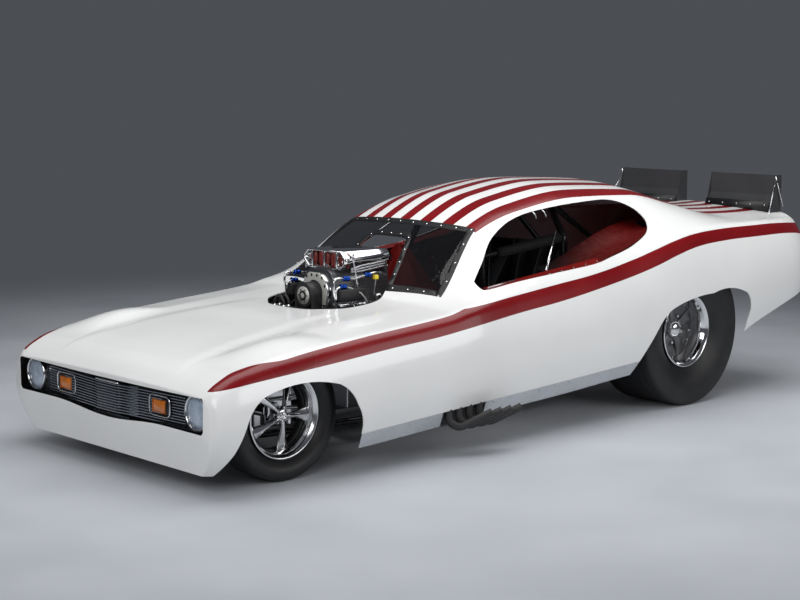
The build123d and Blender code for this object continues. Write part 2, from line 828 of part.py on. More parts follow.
# Supercharger on the engine, with its injector hat
blower_front_x = front_axle_x - 816
blower_rear_x = front_axle_x - 1216
hat_bottom_z = 885
hat_top_z = 992
cover_depth = 24
with BuildPart() as blower:
    block((blower_rear_x, -90, deck_high.Y), (blower_front_x, 90, 660))
    block((blower_rear_x, -135, 660), (blower_front_x, 135, 700))
    block((blower_rear_x, -115, 700), (blower_front_x, 115, hat_bottom_z))
    fillet(blower.edges().filter_by(Axis.X).sort_by(Axis.Z)[-2:], radius=60)
    with Locations(Plane((blower_front_x, 0, 760), z_dir=(1, 0, 0)).location):
        Cylinder(105, cover_depth, align=(Align.CENTER, Align.CENTER, Align.MIN))
blower.part.label = "blower"
export_step(blower.part, "parts/blower.step")

with BuildPart() as injector_hat:
    with BuildSketch(Plane.XZ.offset(-178)):
        with BuildLine():
            Polyline(
                (front_axle_x - 826, hat_bottom_z + 12),
                (front_axle_x - 826, hat_top_z),
                (front_axle_x - 1000, hat_top_z),
                (front_axle_x - 1200, hat_bottom_z + 50),
                (front_axle_x - 1200, hat_bottom_z),
                (front_axle_x - 880, hat_bottom_z),
                close=True,
            )
        make_face()
    extrude(amount=356)
    for port_y in (-132, -44, 44, 132):
        block_plane = Plane((front_axle_x - 826, port_y, (hat_bottom_z + 12 + hat_top_z) / 2), z_dir=(1, 0, 0))
        with Locations(block_plane.location):
            Cylinder(38, 60, align=(Align.CENTER, Align.CENTER, Align.MAX), mode=Mode.SUBTRACT)
injector_hat.part.label = "injector_hat"
export_step(injector_hat.part, "parts/injector_hat.step")

# Belt drive in front of the engine
drum_z = 750
drum_radius = 68
belt_rear_x = engine_front_x + 12
belt_width = 75
with BuildPart() as belt_drive:
    for z, radius in ((drum_z, drum_radius), (crank_z, 62)):
        with Locations(Plane((belt_rear_x, 0, z), z_dir=(1, 0, 0)).location):
            Cylinder(radius, belt_width, align=(Align.CENTER, Align.CENTER, Align.MIN))
    with BuildSketch(Plane((belt_rear_x, 0, 0), x_dir=(0, 1, 0), z_dir=(1, 0, 0))):
        with BuildLine():
            Polyline((-62, crank_z), (62, crank_z), (drum_radius, drum_z), (-drum_radius, drum_z), close=True)
        make_face()
    extrude(amount=belt_width)
    for z, rear_x in ((drum_z, blower_front_x + cover_depth), (crank_z, engine_front_x + plate_thick)):
        with Locations(Plane((rear_x + seat_gap, 0, z), z_dir=(1, 0, 0)).location):
            Cylinder(32, belt_rear_x - rear_x, align=(Align.CENTER, Align.CENTER, Align.MIN))
belt_drive.part.label = "belt_drive"
export_step(belt_drive.part, "parts/belt_drive.step")

# Sheet plates of the chassis: the floor pan under the driver, and those that hold the engine
pan_top = low_rail_z - rail_radius
pan_thick = 3
with BuildPart() as frame_plates:
    block(
        (rear_axle_x + 320, -frame_half_width, pan_top - pan_thick),
        (firewall_x, frame_half_width, pan_top),
    )
    for x in (engine_front_x, engine_rear_x - plate_thick):
        plate_y = frame_y(x + plate_thick) - rail_radius - seat_gap
        block((x, -plate_y, 180), (x + plate_thick, plate_y, 440))
frame_plates.part.label = "frame_plates"
export_step(frame_plates.part, "parts/frame_plates.step")

# Exhaust headers: four pipes a side, out over the frame, down through the gap in the rocker, then
# parallel, back and up to their ends
pipe_radius = 20
pipe_bend = 55
pipe_down_y = 858
pipe_low_z = 124
pipe_tip_y = 1000
pipe_tip_z = 224
pipe_tip_back = 172
port_xs = [engine_front_x - 80 - 140 * i for i in range(4)]
pipe_pitch = 72
first_pipe_x = front_axle_x - 937
port = deck_low + deck_out * (head_height / 2 + seat_gap) + Vector(1, -1) * seat_gap
for side in (1, -1):
    name = "headers_left" if side > 0 else "headers_right"
    with BuildPart() as headers:
        for i, port_x in enumerate(port_xs):
            down_x = first_pipe_x - pipe_pitch * i
            route = [
                (port_x, side * port.X, port.Y),
                (port_x, side * (port.X + 60), port.Y - 60),
                (down_x, side * (pipe_down_y - 90), 430),
                (down_x, side * pipe_down_y, 330),
                (down_x + 10, side * (pipe_down_y + 20), pipe_low_z),
                (down_x - pipe_tip_back, side * pipe_tip_y, pipe_tip_z),
            ]
            tube(route, pipe_radius, pipe_bend)
    headers.part.label = name
    export_step(headers.part, f"parts/{name}.step")

# Transmission and drive shaft
gearbox_length = 560
pinion_z = rear_axle_z - 20
pinion_front_x = rear_axle_x + 190
with BuildPart() as transmission:
    with Locations(Plane((engine_rear_x - plate_thick, 0, crank_z), z_dir=(-1, 0, 0)).location):
        Cylinder(170, 130, align=(Align.CENTER, Align.CENTER, Align.MIN))
        Cylinder(95, gearbox_length, align=(Align.CENTER, Align.CENTER, Align.MIN))
    gearbox_rear_x = engine_rear_x - plate_thick - gearbox_length
    tube([(gearbox_rear_x + 20, 0, crank_z), (pinion_front_x + 20, 0, pinion_z)], 30)
    with Locations(Plane((pinion_front_x + seat_gap, 0, pinion_z), z_dir=(1, 0, 0)).location):
        Cylinder(38, 40, align=(Align.CENTER, Align.CENTER, Align.MIN))
transmission.part.label = "transmission"
export_step(transmission.part, "parts/transmission.step")

# Fuel tank, between the front rails
with BuildPart() as fuel_tank:
    block(
        (front_axle_x - 470, -190, low_rail_z + cross_radius + 4),
        (front_axle_x - 150, 190, rail_z(rail_high, front_axle_x - 250) - cross_radius - seat_gap),
    )
    fillet(fuel_tank.edges().filter_by(Axis.Y), radius=25)
fuel_tank.part.label = "fuel_tank"
export_step(fuel_tank.part, "parts/fuel_tank.step")

# Tray in the front of the engine opening
tray_rear_x = engine_front_x + 100
tray_leg_x = tray_rear_x + 30
tray_half_width = frame_y(tray_leg_x) + 8
tray_z = 640
with BuildPart() as engine_tray:
    block((tray_rear_x, -tray_half_width, tray_z), (tray_rear_x + 100, tray_half_width, tray_z + 4))
    for side in (1, -1):
        block(
            (tray_leg_x - 10, side * frame_y(tray_leg_x) - 6, rail_z(rail_high, tray_leg_x) + rail_radius + 0.6),
            (tray_leg_x + 10, side * frame_y(tray_leg_x) + 6, tray_z),
        )
engine_tray.part.label = "engine_tray"
export_step(engine_tray.part, "parts/engine_tray.step")

# Red tin around the driver: the bulkhead with its peak, and a panel along each side
tin_thick = 3
tin_foot_z = rail_z(rail_high, firewall_x) + rail_radius + seat_gap
with BuildPart() as cockpit_tin:
    with BuildSketch(Plane((firewall_x, 0, 0), x_dir=(0, 1, 0), z_dir=(1, 0, 0))):
        with BuildLine():
            Polyline(
                (frame_half_width + 15, tin_foot_z),
                (300, 760),
                (40, 985),
                (-40, 985),
                (-300, 760),
                (-frame_half_width - 15, tin_foot_z),
                (-190, tin_foot_z),
                (-190, 520),
                (190, 520),
                (190, tin_foot_z),
                close=True,
            )
        make_face()
    extrude(amount=tin_thick)
    for side in (1, -1):
        low_y, high_y = sorted((side * 297, side * 300))
        block((brow_x + 60, low_y, 520), (firewall_x, high_y, 760))
cockpit_tin.part.label = "cockpit_tin"
export_step(cockpit_tin.part, "parts/cockpit_tin.step")

# Seat on its cross tube
seat_front_x = rear_axle_x + 860
seat_rear_x = rear_axle_x + 450
seat_base_z = rail_z(rail_high, rear_axle_x + 520) + cross_radius + seat_gap
with BuildPart() as seat:
    block((seat_rear_x, -210, seat_base_z), (seat_front_x, 210, seat_base_z + 30))
    with BuildSketch(Plane.XZ.offset(-210)):
        with BuildLine():
            Polyline(
                (seat_rear_x, seat_base_z),
                (seat_rear_x + 60, seat_base_z),
                (seat_rear_x - 40, 930),
                (seat_rear_x - 80, 930),
                close=True,
            )
        make_face()
    extrude(amount=420)
    for side in (1, -1):
        low_y, high_y = sorted((side * 200, side * 210))
        block((seat_rear_x, low_y, seat_base_z), (seat_front_x, high_y, seat_base_z + 150))
seat.part.label = "seat"
export_step(seat.part, "parts/seat.step")

# Steering column: a fixed tube, and the wheel on its shaft
wheel_hub = Vector(brow_x + 30, 0, 790)
column_foot = Vector(firewall_x - 40, 0, 640)
column_way = (column_foot - wheel_hub).normalized()
column_radius = 16
steering_shaft_radius = 9
with BuildPart() as steering_column:
    column_top = wheel_hub + column_way * 90
    with Locations(Plane(column_top, z_dir=column_way).location):
        Cylinder(
            column_radius,
            (column_foot - column_top).length,
            align=(Align.CENTER, Align.CENTER, Align.MIN),
        )
    block((column_foot.X - 12, -40, 560), (firewall_x - seat_gap, 40, 680))
    with Locations(Plane(column_top, z_dir=column_way).location):
        Cylinder(
            steering_shaft_radius + running_gap,
            (column_foot - column_top).length,
            align=(Align.CENTER, Align.CENTER, Align.MIN),
            mode=Mode.SUBTRACT,
        )
steering_column.part.label = "steering_column"
export_step(steering_column.part, "parts/steering_column.step")

steering_wheel_radius = 140
with BuildPart() as steering_wheel:
    with Locations(Plane(wheel_hub, z_dir=column_way).location):
        Torus(steering_wheel_radius, 11)
        Cylinder(26, 24)
        Cylinder(steering_shaft_radius, 240, align=(Align.CENTER, Align.CENTER, Align.MIN))
        with PolarLocations(0, 3, start_angle=90):
            Box(steering_wheel_radius, 18, 6, align=(Align.MIN, Align.CENTER, Align.CENTER))
steering_wheel.part.label = "steering_wheel"
export_step(steering_wheel.part, "parts/steering_wheel.step")

# Parachute pack behind the hinge bar
with BuildPart() as parachute_pack:
    block((hinge_x - 130, -130, hinge_z - 60), (hinge_x + 44 - seat_gap, 130, hinge_z + 90))
    fillet(parachute_pack.edges().filter_by(Axis.Y), radius=25)
parachute_pack.part.label = "parachute_pack"
export_step(parachute_pack.part, "parts/parachute_pack.step")

# Front knuckles: a fork over the boss, the kingpin, the spindle and the steering arm
fork_gap = 0.3
ear_thick = 14
for side in (1, -1):
    name = "knuckle_left" if side > 0 else "knuckle_right"
    with BuildPart() as knuckle:
        for way in (1, -1):
            ear_z = front_axle_z + way * (boss_height / 2 + fork_gap + ear_thick / 2)
            with Locations((front_axle_x, side * kingpin_y, ear_z)):
                Cylinder(boss_radius, ear_thick)
            low_y, high_y = sorted((side * kingpin_y, side * (kingpin_y + 44)))
            with Locations((front_axle_x, (low_y + high_y) / 2, ear_z)):
                Box(40, high_y - low_y, ear_thick)
        with Locations((front_axle_x, side * kingpin_y, front_axle_z)):
            Cylinder(kingpin_radius, boss_height + 2 * fork_gap + 2)
        low_y, high_y = sorted((side * (kingpin_y + 30), side * (kingpin_y + 44)))
        block(
            (front_axle_x - 20, low_y, front_axle_z - boss_height / 2 - ear_thick),
            (front_axle_x + 20, high_y, front_axle_z + boss_height / 2 + ear_thick),
        )
        ring_across(
            spindle_radius, side * (kingpin_y + 40), side * (front_rim_outer_y - 24), front_axle_x, front_axle_z
        )
        arm_z = front_axle_z - boss_height / 2 - fork_gap - ear_thick / 2
        with Locations((front_axle_x - steering_arm / 2, side * kingpin_y, arm_z)):
            Box(steering_arm, 22, ear_thick)
        with Locations((front_axle_x - steering_arm, side * kingpin_y, arm_z)):
            Cylinder(14, ear_thick)
            Cylinder(6 + running_gap, ear_thick, mode=Mode.SUBTRACT)
    knuckle.part.label = name
    export_step(knuckle.part, f"parts/{name}.step")

# Tie rod under the steering arms
rod_z = front_axle_z - boss_height / 2 - fork_gap - ear_thick - fork_gap - 9
with BuildPart() as tie_rod:
    ring_across(8, -kingpin_y, kingpin_y, front_axle_x - steering_arm, rod_z)
    for side in (1, -1):
        with Locations((front_axle_x - steering_arm, side * kingpin_y, rod_z)):
            Cylinder(13, 18)
        with Locations((front_axle_x - steering_arm, side * kingpin_y, rod_z)):
            Cylinder(6, 9 + fork_gap + ear_thick + 2, align=(Align.CENTER, Align.CENTER, Align.MIN))
tie_rod.part.label = "tie_rod"
export_step(tie_rod.part, "parts/tie_rod.step")


def wheel_plane(side, axle_x, axle_z):
    """Plane of a wheel's profile: outward across the car, and up from the axle."""
    return Plane((axle_x, 0, axle_z), x_dir=(0, side, 0), z_dir=(side, 0, 0))


def face_plane(side, y, axle_x, axle_z):
    """Plane of a wheel's face, looking outward."""
    return Plane((axle_x, side * y, axle_z), x_dir=(1, 0, 0), z_dir=(0, side, 0))


def rim_ring(side, inner_y, outer_y, lip, bead, axle_x, axle_z):
    """Add the turned ring of a rim."""
    with BuildSketch(wheel_plane(side, axle_x, axle_z)) as ring:
        with BuildLine():
            Polyline(
                (inner_y, lip),
                (inner_y + 5, lip),
                (inner_y + 12, bead),
                (outer_y - 12, bead),
                (outer_y - 5, lip),
                (outer_y, lip),
                (outer_y, lip - 8),
                (outer_y - 16, bead - 7),
                (inner_y + 16, bead - 7),
                (inner_y, lip - 8),
                close=True,
            )
        make_face()
    revolve(ring.sketch, axis=Axis((axle_x, 0, axle_z), (0, 1, 0)))


def tyre_ring(side, inner_y, outer_y, rim_inner, rim_outer, radius, lip, bead, axle_x, axle_z, corner):
    """Add the turned form of a tyre seated on its rim."""
    foot_in = rim_inner + 12 + seat_gap
    foot_out = rim_outer - 12 - seat_gap
    middle = (radius + lip) / 2
    with BuildSketch(wheel_plane(side, axle_x, axle_z)) as ring:
        with BuildLine():
            Polyline(
                (foot_in, lip + 4),
                (foot_in, bead + seat_gap),
                (foot_out, bead + seat_gap),
                (foot_out, lip + 4),
            )
            ThreePointArc((foot_out, lip + 4), (outer_y, middle), (outer_y - corner / 2, radius - corner))
            Line((outer_y - corner / 2, radius - corner), (outer_y - corner * 1.2, radius))
            Line((outer_y - corner * 1.2, radius), (inner_y + corner * 1.2, radius))
            Line((inner_y + corner * 1.2, radius), (inner_y + corner / 2, radius - corner))
            ThreePointArc((inner_y + corner / 2, radius - corner), (inner_y, middle), (foot_in, lip + 4))
        make_face()
    revolve(ring.sketch, axis=Axis((axle_x, 0, axle_z), (0, 1, 0)))


# Front wheels and tyres
for side in (1, -1):
    hand = "left" if side > 0 else "right"
    with BuildPart() as front_wheel:
        rim_ring(
            side, front_rim_inner_y, front_rim_outer_y, front_lip_radius, front_bead_radius,
            front_axle_x, front_axle_z,
        )
        with BuildSketch(face_plane(side, front_rim_outer_y - 44, front_axle_x, front_axle_z)) as spokes:
            with PolarLocations(0, 5, start_angle=90):
                with BuildLine():
                    Polyline(
                        (15, -20), (110, -11), (front_bead_radius - 4, -20),
                        (front_bead_radius - 4, 20), (110, 11), (15, 20), close=True,
                    )
                make_face()
        extrude(spokes.sketch, amount=18)
        ring_across(
            34, side * (front_rim_outer_y - 62), side * (front_rim_outer_y - 12), front_axle_x, front_axle_z
        )
        ring_across(
            spindle_radius + running_gap,
            side * (front_rim_outer_y - 80),
            side * (front_rim_outer_y - 23.7),
            front_axle_x,
            front_axle_z,
            Mode.SUBTRACT,
        )
    front_wheel.part.label = f"front_wheel_{hand}"
    export_step(front_wheel.part, f"parts/front_wheel_{hand}.step")
    with BuildPart() as front_tyre:
        tyre_ring(
            side, front_tyre_inner_y, front_tyre_outer_y, front_rim_inner_y, front_rim_outer_y,
            front_tyre_radius, front_lip_radius, front_bead_radius, front_axle_x, front_axle_z, 24,
        )
    front_tyre.part.label = f"front_tyre_{hand}"
    export_step(front_tyre.part, f"parts/front_tyre_{hand}.step")

# Rear wheels and tyres
spider_y = 690
for side in (1, -1):
    hand = "left" if side > 0 else "right"
    with BuildPart() as rear_wheel:
        rim_ring(
            side, rear_rim_inner_y, rear_rim_outer_y, rear_lip_radius, rear_bead_radius,
            rear_axle_x, rear_axle_z,
        )
        with BuildSketch(face_plane(side, spider_y, rear_axle_x, rear_axle_z)) as spider:
            Circle(rear_bead_radius - 4)
            with PolarLocations(125, 5, start_angle=90):
                Circle(36, mode=Mode.SUBTRACT)
        extrude(spider.sketch, amount=16)
        ring_across(62, side * (spider_y - 20), side * (spider_y + 60), rear_axle_x, rear_axle_z)
        ring_across(
            shaft_radius + running_gap, side * (spider_y - 30), side * (spider_y + 30),
            rear_axle_x, rear_axle_z, Mode.SUBTRACT,
        )
    rear_wheel.part.label = f"rear_wheel_{hand}"
    export_step(rear_wheel.part, f"parts/rear_wheel_{hand}.step")
    with BuildPart() as rear_tyre:
        tyre_ring(
            side, rear_tyre_inner_y, rear_tyre_outer_y, rear_rim_inner_y, rear_rim_outer_y,
            rear_tyre_radius, rear_lip_radius, rear_bead_radius, rear_axle_x, rear_axle_z, 30,
        )
    rear_tyre.part.label = f"rear_tyre_{hand}"
    export_step(rear_tyre.part, f"parts/rear_tyre_{hand}.step")

# Axle shaft with its brake discs
with BuildPart() as axle_shaft:
    shaft_end_y = spider_y + 30 - seat_gap
    for side in (1, -1):
        ring_across(disc_radius, side * disc_y, side * (disc_y + disc_thick), rear_axle_x, rear_axle_z)
        ring_across(
            shaft_radius + running_gap, side * (disc_y - 10), side * (disc_y + 30),
            rear_axle_x, rear_axle_z, Mode.SUBTRACT,
        )
    ring_across(shaft_radius, -shaft_end_y, shaft_end_y, rear_axle_x, rear_axle_z)
axle_shaft.part.label = "axle_shaft"
export_step(axle_shaft.part, "parts/axle_shaft.step")
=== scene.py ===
"""Drag racing car: smooth body, trim, wheels, engine detail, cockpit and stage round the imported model.

Metres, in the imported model's frame: +X forward, +Y to the car's left, +Z up, floor at 0.
"""

import math

import bmesh
import bpy
import numpy as np
from mathutils import Matrix, Vector
from mathutils.bvhtree import BVHTree


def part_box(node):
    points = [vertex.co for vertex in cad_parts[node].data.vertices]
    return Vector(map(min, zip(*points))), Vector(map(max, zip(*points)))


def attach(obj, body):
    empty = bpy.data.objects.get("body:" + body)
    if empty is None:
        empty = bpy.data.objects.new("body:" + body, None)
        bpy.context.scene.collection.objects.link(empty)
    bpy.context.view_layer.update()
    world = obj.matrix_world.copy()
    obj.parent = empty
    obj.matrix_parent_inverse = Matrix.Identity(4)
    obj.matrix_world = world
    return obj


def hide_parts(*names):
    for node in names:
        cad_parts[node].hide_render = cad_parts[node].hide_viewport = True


bl_info = {
    "name": "Drag Racing Car",
    "version": (1, 0, 0),
    "blender": (4, 5, 0),
    "location": "3D View > Sidebar > Drag Car",
    "description": "Builds the looks of a drag racing car with a tilting body around its packed model",
    "category": "Object",
}

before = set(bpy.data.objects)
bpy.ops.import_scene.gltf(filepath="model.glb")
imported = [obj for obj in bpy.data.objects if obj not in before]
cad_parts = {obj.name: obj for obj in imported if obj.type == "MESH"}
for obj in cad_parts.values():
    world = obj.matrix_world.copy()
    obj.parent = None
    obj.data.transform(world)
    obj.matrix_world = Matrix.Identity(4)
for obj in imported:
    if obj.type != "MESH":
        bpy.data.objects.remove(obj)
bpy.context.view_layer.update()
FINISH, TREES, SKIN = {}, {}, {}  # what is made once: materials by name, node groups by kind, the skin
HALF_WIDTH = 0.910
ACROSS = ("Y", -1.2, 1.2)  # a cutter right through the car from side to side
FRONT_AXLE = (1.826, 0.310)
REAR_AXLE = (-1.126, 0.437)
FX, RX = FRONT_AXLE[0], REAR_AXLE[0]

# Body sections from tail to nose, in millimetres: x, sill inset, sill z, waist inset, waist z,
# shoulder inset, shoulder z, rail y, rail z, crown z
BODY_ROWS = np.array((
    (-2370, 140, 620, 120, 770, 220, 990, 620, 1030, 1065),
    (-2330, 100, 590, 80, 760, 180, 1020, 660, 1060, 1100),
    (-2100, 60, 530, 30, 740, 130, 1035, 620, 1060, 1095),
    (-1750, 50, 430, 10, 710, 100, 1040, 550, 1070, 1105),
    (-1350, 40, 300, 0, 680, 80, 1030, 500, 1155, 1205),
    (-950, 40, 270, 0, 630, 70, 965, 490, 1240, 1300),
    (-450, 50, 240, 0, 570, 70, 860, 490, 1255, 1318),
    (50, 50, 207, 0, 520, 70, 800, 500, 1185, 1255),
    (350, 50, 192, 0, 490, 70, 770, 520, 1075, 1135),
    (710, 50, 172, 0, 450, 60, 735, 640, 770, 860),
    (850, 50, 165, 0, 440, 62, 710, 560, 733, 750),
    (1490, 50, 130, 0, 380, 66, 656, 560, 680, 672),
    (1822, 60, 120, 0, 360, 70, 622, 600, 640, 634),
    (2150, 90, 108, 20, 340, 78, 570, 520, 580, 578),
    (2280, 150, 100, 38, 330, 84, 524, 490, 535, 540),
    (2340, 200, 98, 56, 330, 96, 492, 500, 498, 503),
    (2370, 225, 98, 88, 330, 122, 466, 500, 474, 476),
)) / 1000


# ---------------------------------------------------------------- materials

class Term:
    """A shader socket in an expression: the usual signs add Math nodes."""

    def __init__(self, shade, socket):
        self.shade = shade
        self.socket = socket

    def math(self, operation, *others, clamp=False):
        inputs = {0: self}
        inputs.update({i + 1: other for i, other in enumerate(others)})
        return self.shade.node("Math", {"operation": operation, "use_clamp": clamp}, inputs)

    def __add__(self, other):
        return self.math("ADD", other)

    def __radd__(self, other):
        return self + other

    def __sub__(self, other):
        return self.math("SUBTRACT", other)

    def __rsub__(self, other):
        return self * -1.0 + other

    def __mul__(self, other):
        return self.math("MULTIPLY", other)

    def __rmul__(self, other):
        return self * other

    def __truediv__(self, other):
        return self.math("DIVIDE", other)

    def absolute(self):
        return self.math("ABSOLUTE")

    def fraction(self):
        return self.math("FRACT")

    def step(self, low, high, start=0.0, end=1.0):
        """Smooth rise from start to end as the value goes from low to high."""
        return self.shade.node(
            "MapRange", {"interpolation_type": "SMOOTHSTEP"},
            {"Value": self, "From Min": low, "From Max": high, "To Min": start, "To Max": end},
        )


class Shade:
    """One material under construction."""

    def __init__(self, name):
        self.material = bpy.data.materials.new(name)
        self.material.use_nodes = True
        self.tree = self.material.node_tree
        self.tree.nodes.clear()
        self.place = self.node("TexCoord", output="Object")
        axes = self.node("SeparateXYZ", inputs={0: self.place})
        self.x = axes
        self.y = Term(self, axes.socket.node.outputs["Y"])
        self.z = Term(self, axes.socket.node.outputs["Z"])

    def node(self, kind, settings=None, inputs=None, output=0):
        made = self.tree.nodes.new("ShaderNode" + kind)
        for key, value in (settings or {}).items():
            if key == "stops":
                ramp = made.color_ramp
                while len(ramp.elements) < len(value):
                    ramp.elements.new(0.5)
                for element, (at, colour) in zip(ramp.elements, value):
                    element.position = at
                    element.color = (*colour, 1)
            elif key == "curve":
                points = made.mapping.curves[0].points
                while len(points) < len(value):
                    points.new(0.5, 0.5)
                for point, place in zip(points, value):
                    point.location = place
                made.mapping.update()
            else:
                setattr(made, key, value)
        for key, value in (inputs or {}).items():
            if isinstance(value, Term):
                self.tree.links.new(value.socket, made.inputs[key])
            elif isinstance(value, tuple) and len(value) == 3 and made.inputs[key].type == "RGBA":
                made.inputs[key].default_value = (*value, 1)
            else:
                made.inputs[key].default_value = value
        return Term(self, made.outputs[output])

    def noise(self, scale, detail=3.0, stretch=None):
        place = self.place
        if stretch:
            place = self.node("Mapping", {}, {"Vector": place, "Scale": stretch})
        return self.node("TexNoise", {}, {"Vector": place, "Scale": scale, "Detail": detail})

    def mix(self, factor, low, high):
        made = self.tree.nodes.new("ShaderNodeMix")
        made.data_type = "RGBA"
        for key, value in (("Factor_Float", factor), ("A_Color", low), ("B_Color", high)):
            socket = next(s for s in made.inputs if s.identifier == key)
            if isinstance(value, Term):
                self.tree.links.new(value.socket, socket)
            else:
                socket.default_value = value if isinstance(value, float) else (*value, 1)
        return Term(self, next(s for s in made.outputs if s.identifier == "Result_Color"))

    def bump(self, height, strength, distance):
        return self.node("Bump", {}, {"Height": height, "Strength": strength, "Distance": distance})

    def finish(self, **sockets):
        names = {key.replace("_", " ").title().replace("Ior", "IOR"): value for key, value in sockets.items()}
        surface = self.node("BsdfPrincipled", {}, names)
        out = self.tree.nodes.new("ShaderNodeOutputMaterial")
        self.tree.links.new(surface.socket, out.inputs["Surface"])
        return self.material


def worn(name, colour, rough, metal=0.0, grain=60.0, spread=0.12, bump=0.1, depth=0.0005, stretch=None, **more):
    """A finish whose colour and roughness vary with a fine and a broad noise."""
    shade = Shade(name)
    fine = shade.noise(grain, 4.0, stretch)
    broad = shade.noise(6.0, 2.0)
    mask = fine * 0.6 + broad * 0.4
    low = tuple(c * (1 - spread) for c in colour)
    high = tuple(min(c * (1 + spread), 1) for c in colour)
    return shade.finish(
        base_color=shade.mix(mask.step(0.3, 0.7), low, high),
        roughness=mask.step(0.3, 0.7, rough * 0.8, rough * 1.25),
        metallic=metal,
        normal=shade.bump(fine, bump, depth),
        **more,
    )


def belt_line(shade, points):
    """Height of a line along the body's side, from its (x, z) points."""
    points = sorted(points)
    low, high = -2.4, 2.4
    places = [((x - low) / (high - low), z / 1.2) for x, z in points]
    share = (shade.x - low) / (high - low)
    return shade.node("FloatCurve", {"curve": places}, {"Factor": 1.0, "Value": share}) * 1.2


BELT_TOP = (
    (2.381, .490), (2.353, .554), (2.309, .580), (2.198, .601), (2.028, .621), (1.852, .638), (1.609, .660),
    (1.290, .681), (.953, .713), (.668, .738), (.370, .769), (.058, .802), (-.271, .837), (-.615, .896),
    (-.793, .935), (-.977, .975), (-1.164, 1.005), (-1.359, 1.018), (-1.765, 1.022), (-2.087, 1.018), (-2.37, 1.0),
)
BELT_FOOT = (
    (2.381, .478), (2.310, .495), (2.199, .511), (2.029, .529), (1.853, .545), (1.609, .565), (1.289, .593),
    (.951, .618), (.667, .651), (.368, .685), (.055, .716), (-.273, .760), (-.618, .817), (-.797, .855),
    (-.980, .900), (-1.169, .935), (-1.363, .950), (-1.770, .957), (-2.191, .951), (-2.37, .93),
)


def body_paint(name, car):
    """White gloss with a belt stripe along each side and seven stripes over the roof and deck."""
    shade = Shade(name)
    top = belt_line(shade, BELT_TOP)
    foot = belt_line(shade, BELT_FOOT)
    edge = (
        shade.x.step(-1.6, -1.2, 0.72, 0.80) + shade.x.step(0.4, 0.9, 0.0, 0.030)
        - shade.x.step(1.9, 2.2, 0.0, 0.055)
    )
    side = (shade.y.absolute() - edge).step(-0.001, 0.001) * shade.x.step(2.332, 2.334, 1.0, 0.0)
    belt = (shade.z - foot).step(-0.0008, 0.0008) * (top - shade.z).step(-0.0008, 0.0008) * side
    across = ((shade.y / 0.1565 + 0.5).fraction() - 0.5).absolute()
    roof = across.step(0.236, 0.246, 1.0, 0.0) * shade.y.absolute().step(0.508, 0.511, 1.0, 0.0)
    roof = roof * (shade.x + shade.y * shade.y * 0.20).step(0.394, 0.398, 1.0, 0.0) * shade.z.step(1.02, 1.03)
    roof = roof * shade.x.step(-2.365, -2.36)
    stripe = (belt + roof).math("MINIMUM", 1.0)
    cloud = shade.noise(2.2, 2.0)
    white = shade.mix(cloud.step(0.35, 0.65), tuple(c * 0.97 for c in car.paint), tuple(car.paint))
    red = shade.mix(cloud.step(0.3, 0.7), tuple(c * 0.82 for c in car.stripe), tuple(car.stripe))
    peel = shade.noise(420.0, 2.0)
    return shade.finish(
        base_color=shade.mix(stripe, white, red),
        roughness=stripe * 0.10 + cloud.step(0.3, 0.7, 0.16, 0.24),
        coat_weight=stripe * -0.28 + 0.45, coat_roughness=0.05, specular_ior_level=0.3,
        normal=shade.bump(peel, 0.05, 0.0002),
    )


def clear_sheet(name):
    """Thin clear plastic with a faint grey tint and light scuffs."""
    shade = Shade(name)
    scuff = shade.noise(90.0, 5.0)
    return shade.finish(
        base_color=shade.mix(scuff.step(0.4, 0.7), (0.006, 0.006, 0.007), (0.012, 0.012, 0.013)),
        roughness=scuff.step(0.3, 0.8, 0.03, 0.05),
        alpha=scuff.step(0.5, 0.85, 0.50, 0.54),
        specular_ior_level=0.35,
    )


def fluted_lens(name, colour, flutes, tint_alpha=1.0):
    """Lamp lens with upright flutes and a paler, cloudier middle."""
    shade = Shade(name)
    wave = (shade.y * flutes).math("SINE")
    cloud = shade.noise(18.0, 2.0)
    pale = tuple(min(c * 1.5 + 0.005, 1) for c in colour)
    return shade.finish(
        base_color=shade.mix(cloud.step(0.3, 0.7), colour, pale),
        roughness=cloud.step(0.3, 0.7, 0.05, 0.14),
        alpha=tint_alpha,
        coat_weight=0.8,
        normal=shade.bump(wave, 0.35, 0.001),
    )


def tyre_rubber(name, axle):
    """Black rubber, greyer and duller on the tread, with fine mould lines round the side wall."""
    shade = Shade(name)
    dx = shade.x - axle[0]
    dz = shade.z - axle[1]
    radius = (dx * dx + dz * dz).math("SQRT")
    rings = (radius * 900.0).math("SINE")
    grain = shade.noise(160.0, 4.0)
    tread = radius.step(axle[1] - 0.012, axle[1] - 0.002)
    dust = shade.noise(9.0, 3.0).step(0.45, 0.75)
    wall = shade.mix(dust, (0.006, 0.006, 0.007), (0.012, 0.0115, 0.0115))
    return shade.finish(
        base_color=shade.mix(tread, wall, (0.016, 0.016, 0.017)),
        roughness=tread * 0.22 + grain.step(0.3, 0.7, 0.42, 0.56),
        normal=shade.bump(grain * 0.7 + rings * 0.12, 0.35, 0.0006),
    )


def braid(name, colour):
    """Woven metal sleeve, crossed fine lines."""
    shade = Shade(name)
    one = ((shade.x + shade.z) * 1900.0).math("SINE")
    two = ((shade.x - shade.z + shade.y) * 1900.0).math("SINE")
    cross = one * two
    return shade.finish(
        base_color=shade.mix(cross.step(-0.6, 0.6), tuple(c * 0.45 for c in colour), colour),
        roughness=cross.step(-1.0, 1.0, 0.45, 0.25), metallic=1.0,
        normal=shade.bump(cross, 0.5, 0.0005),
    )


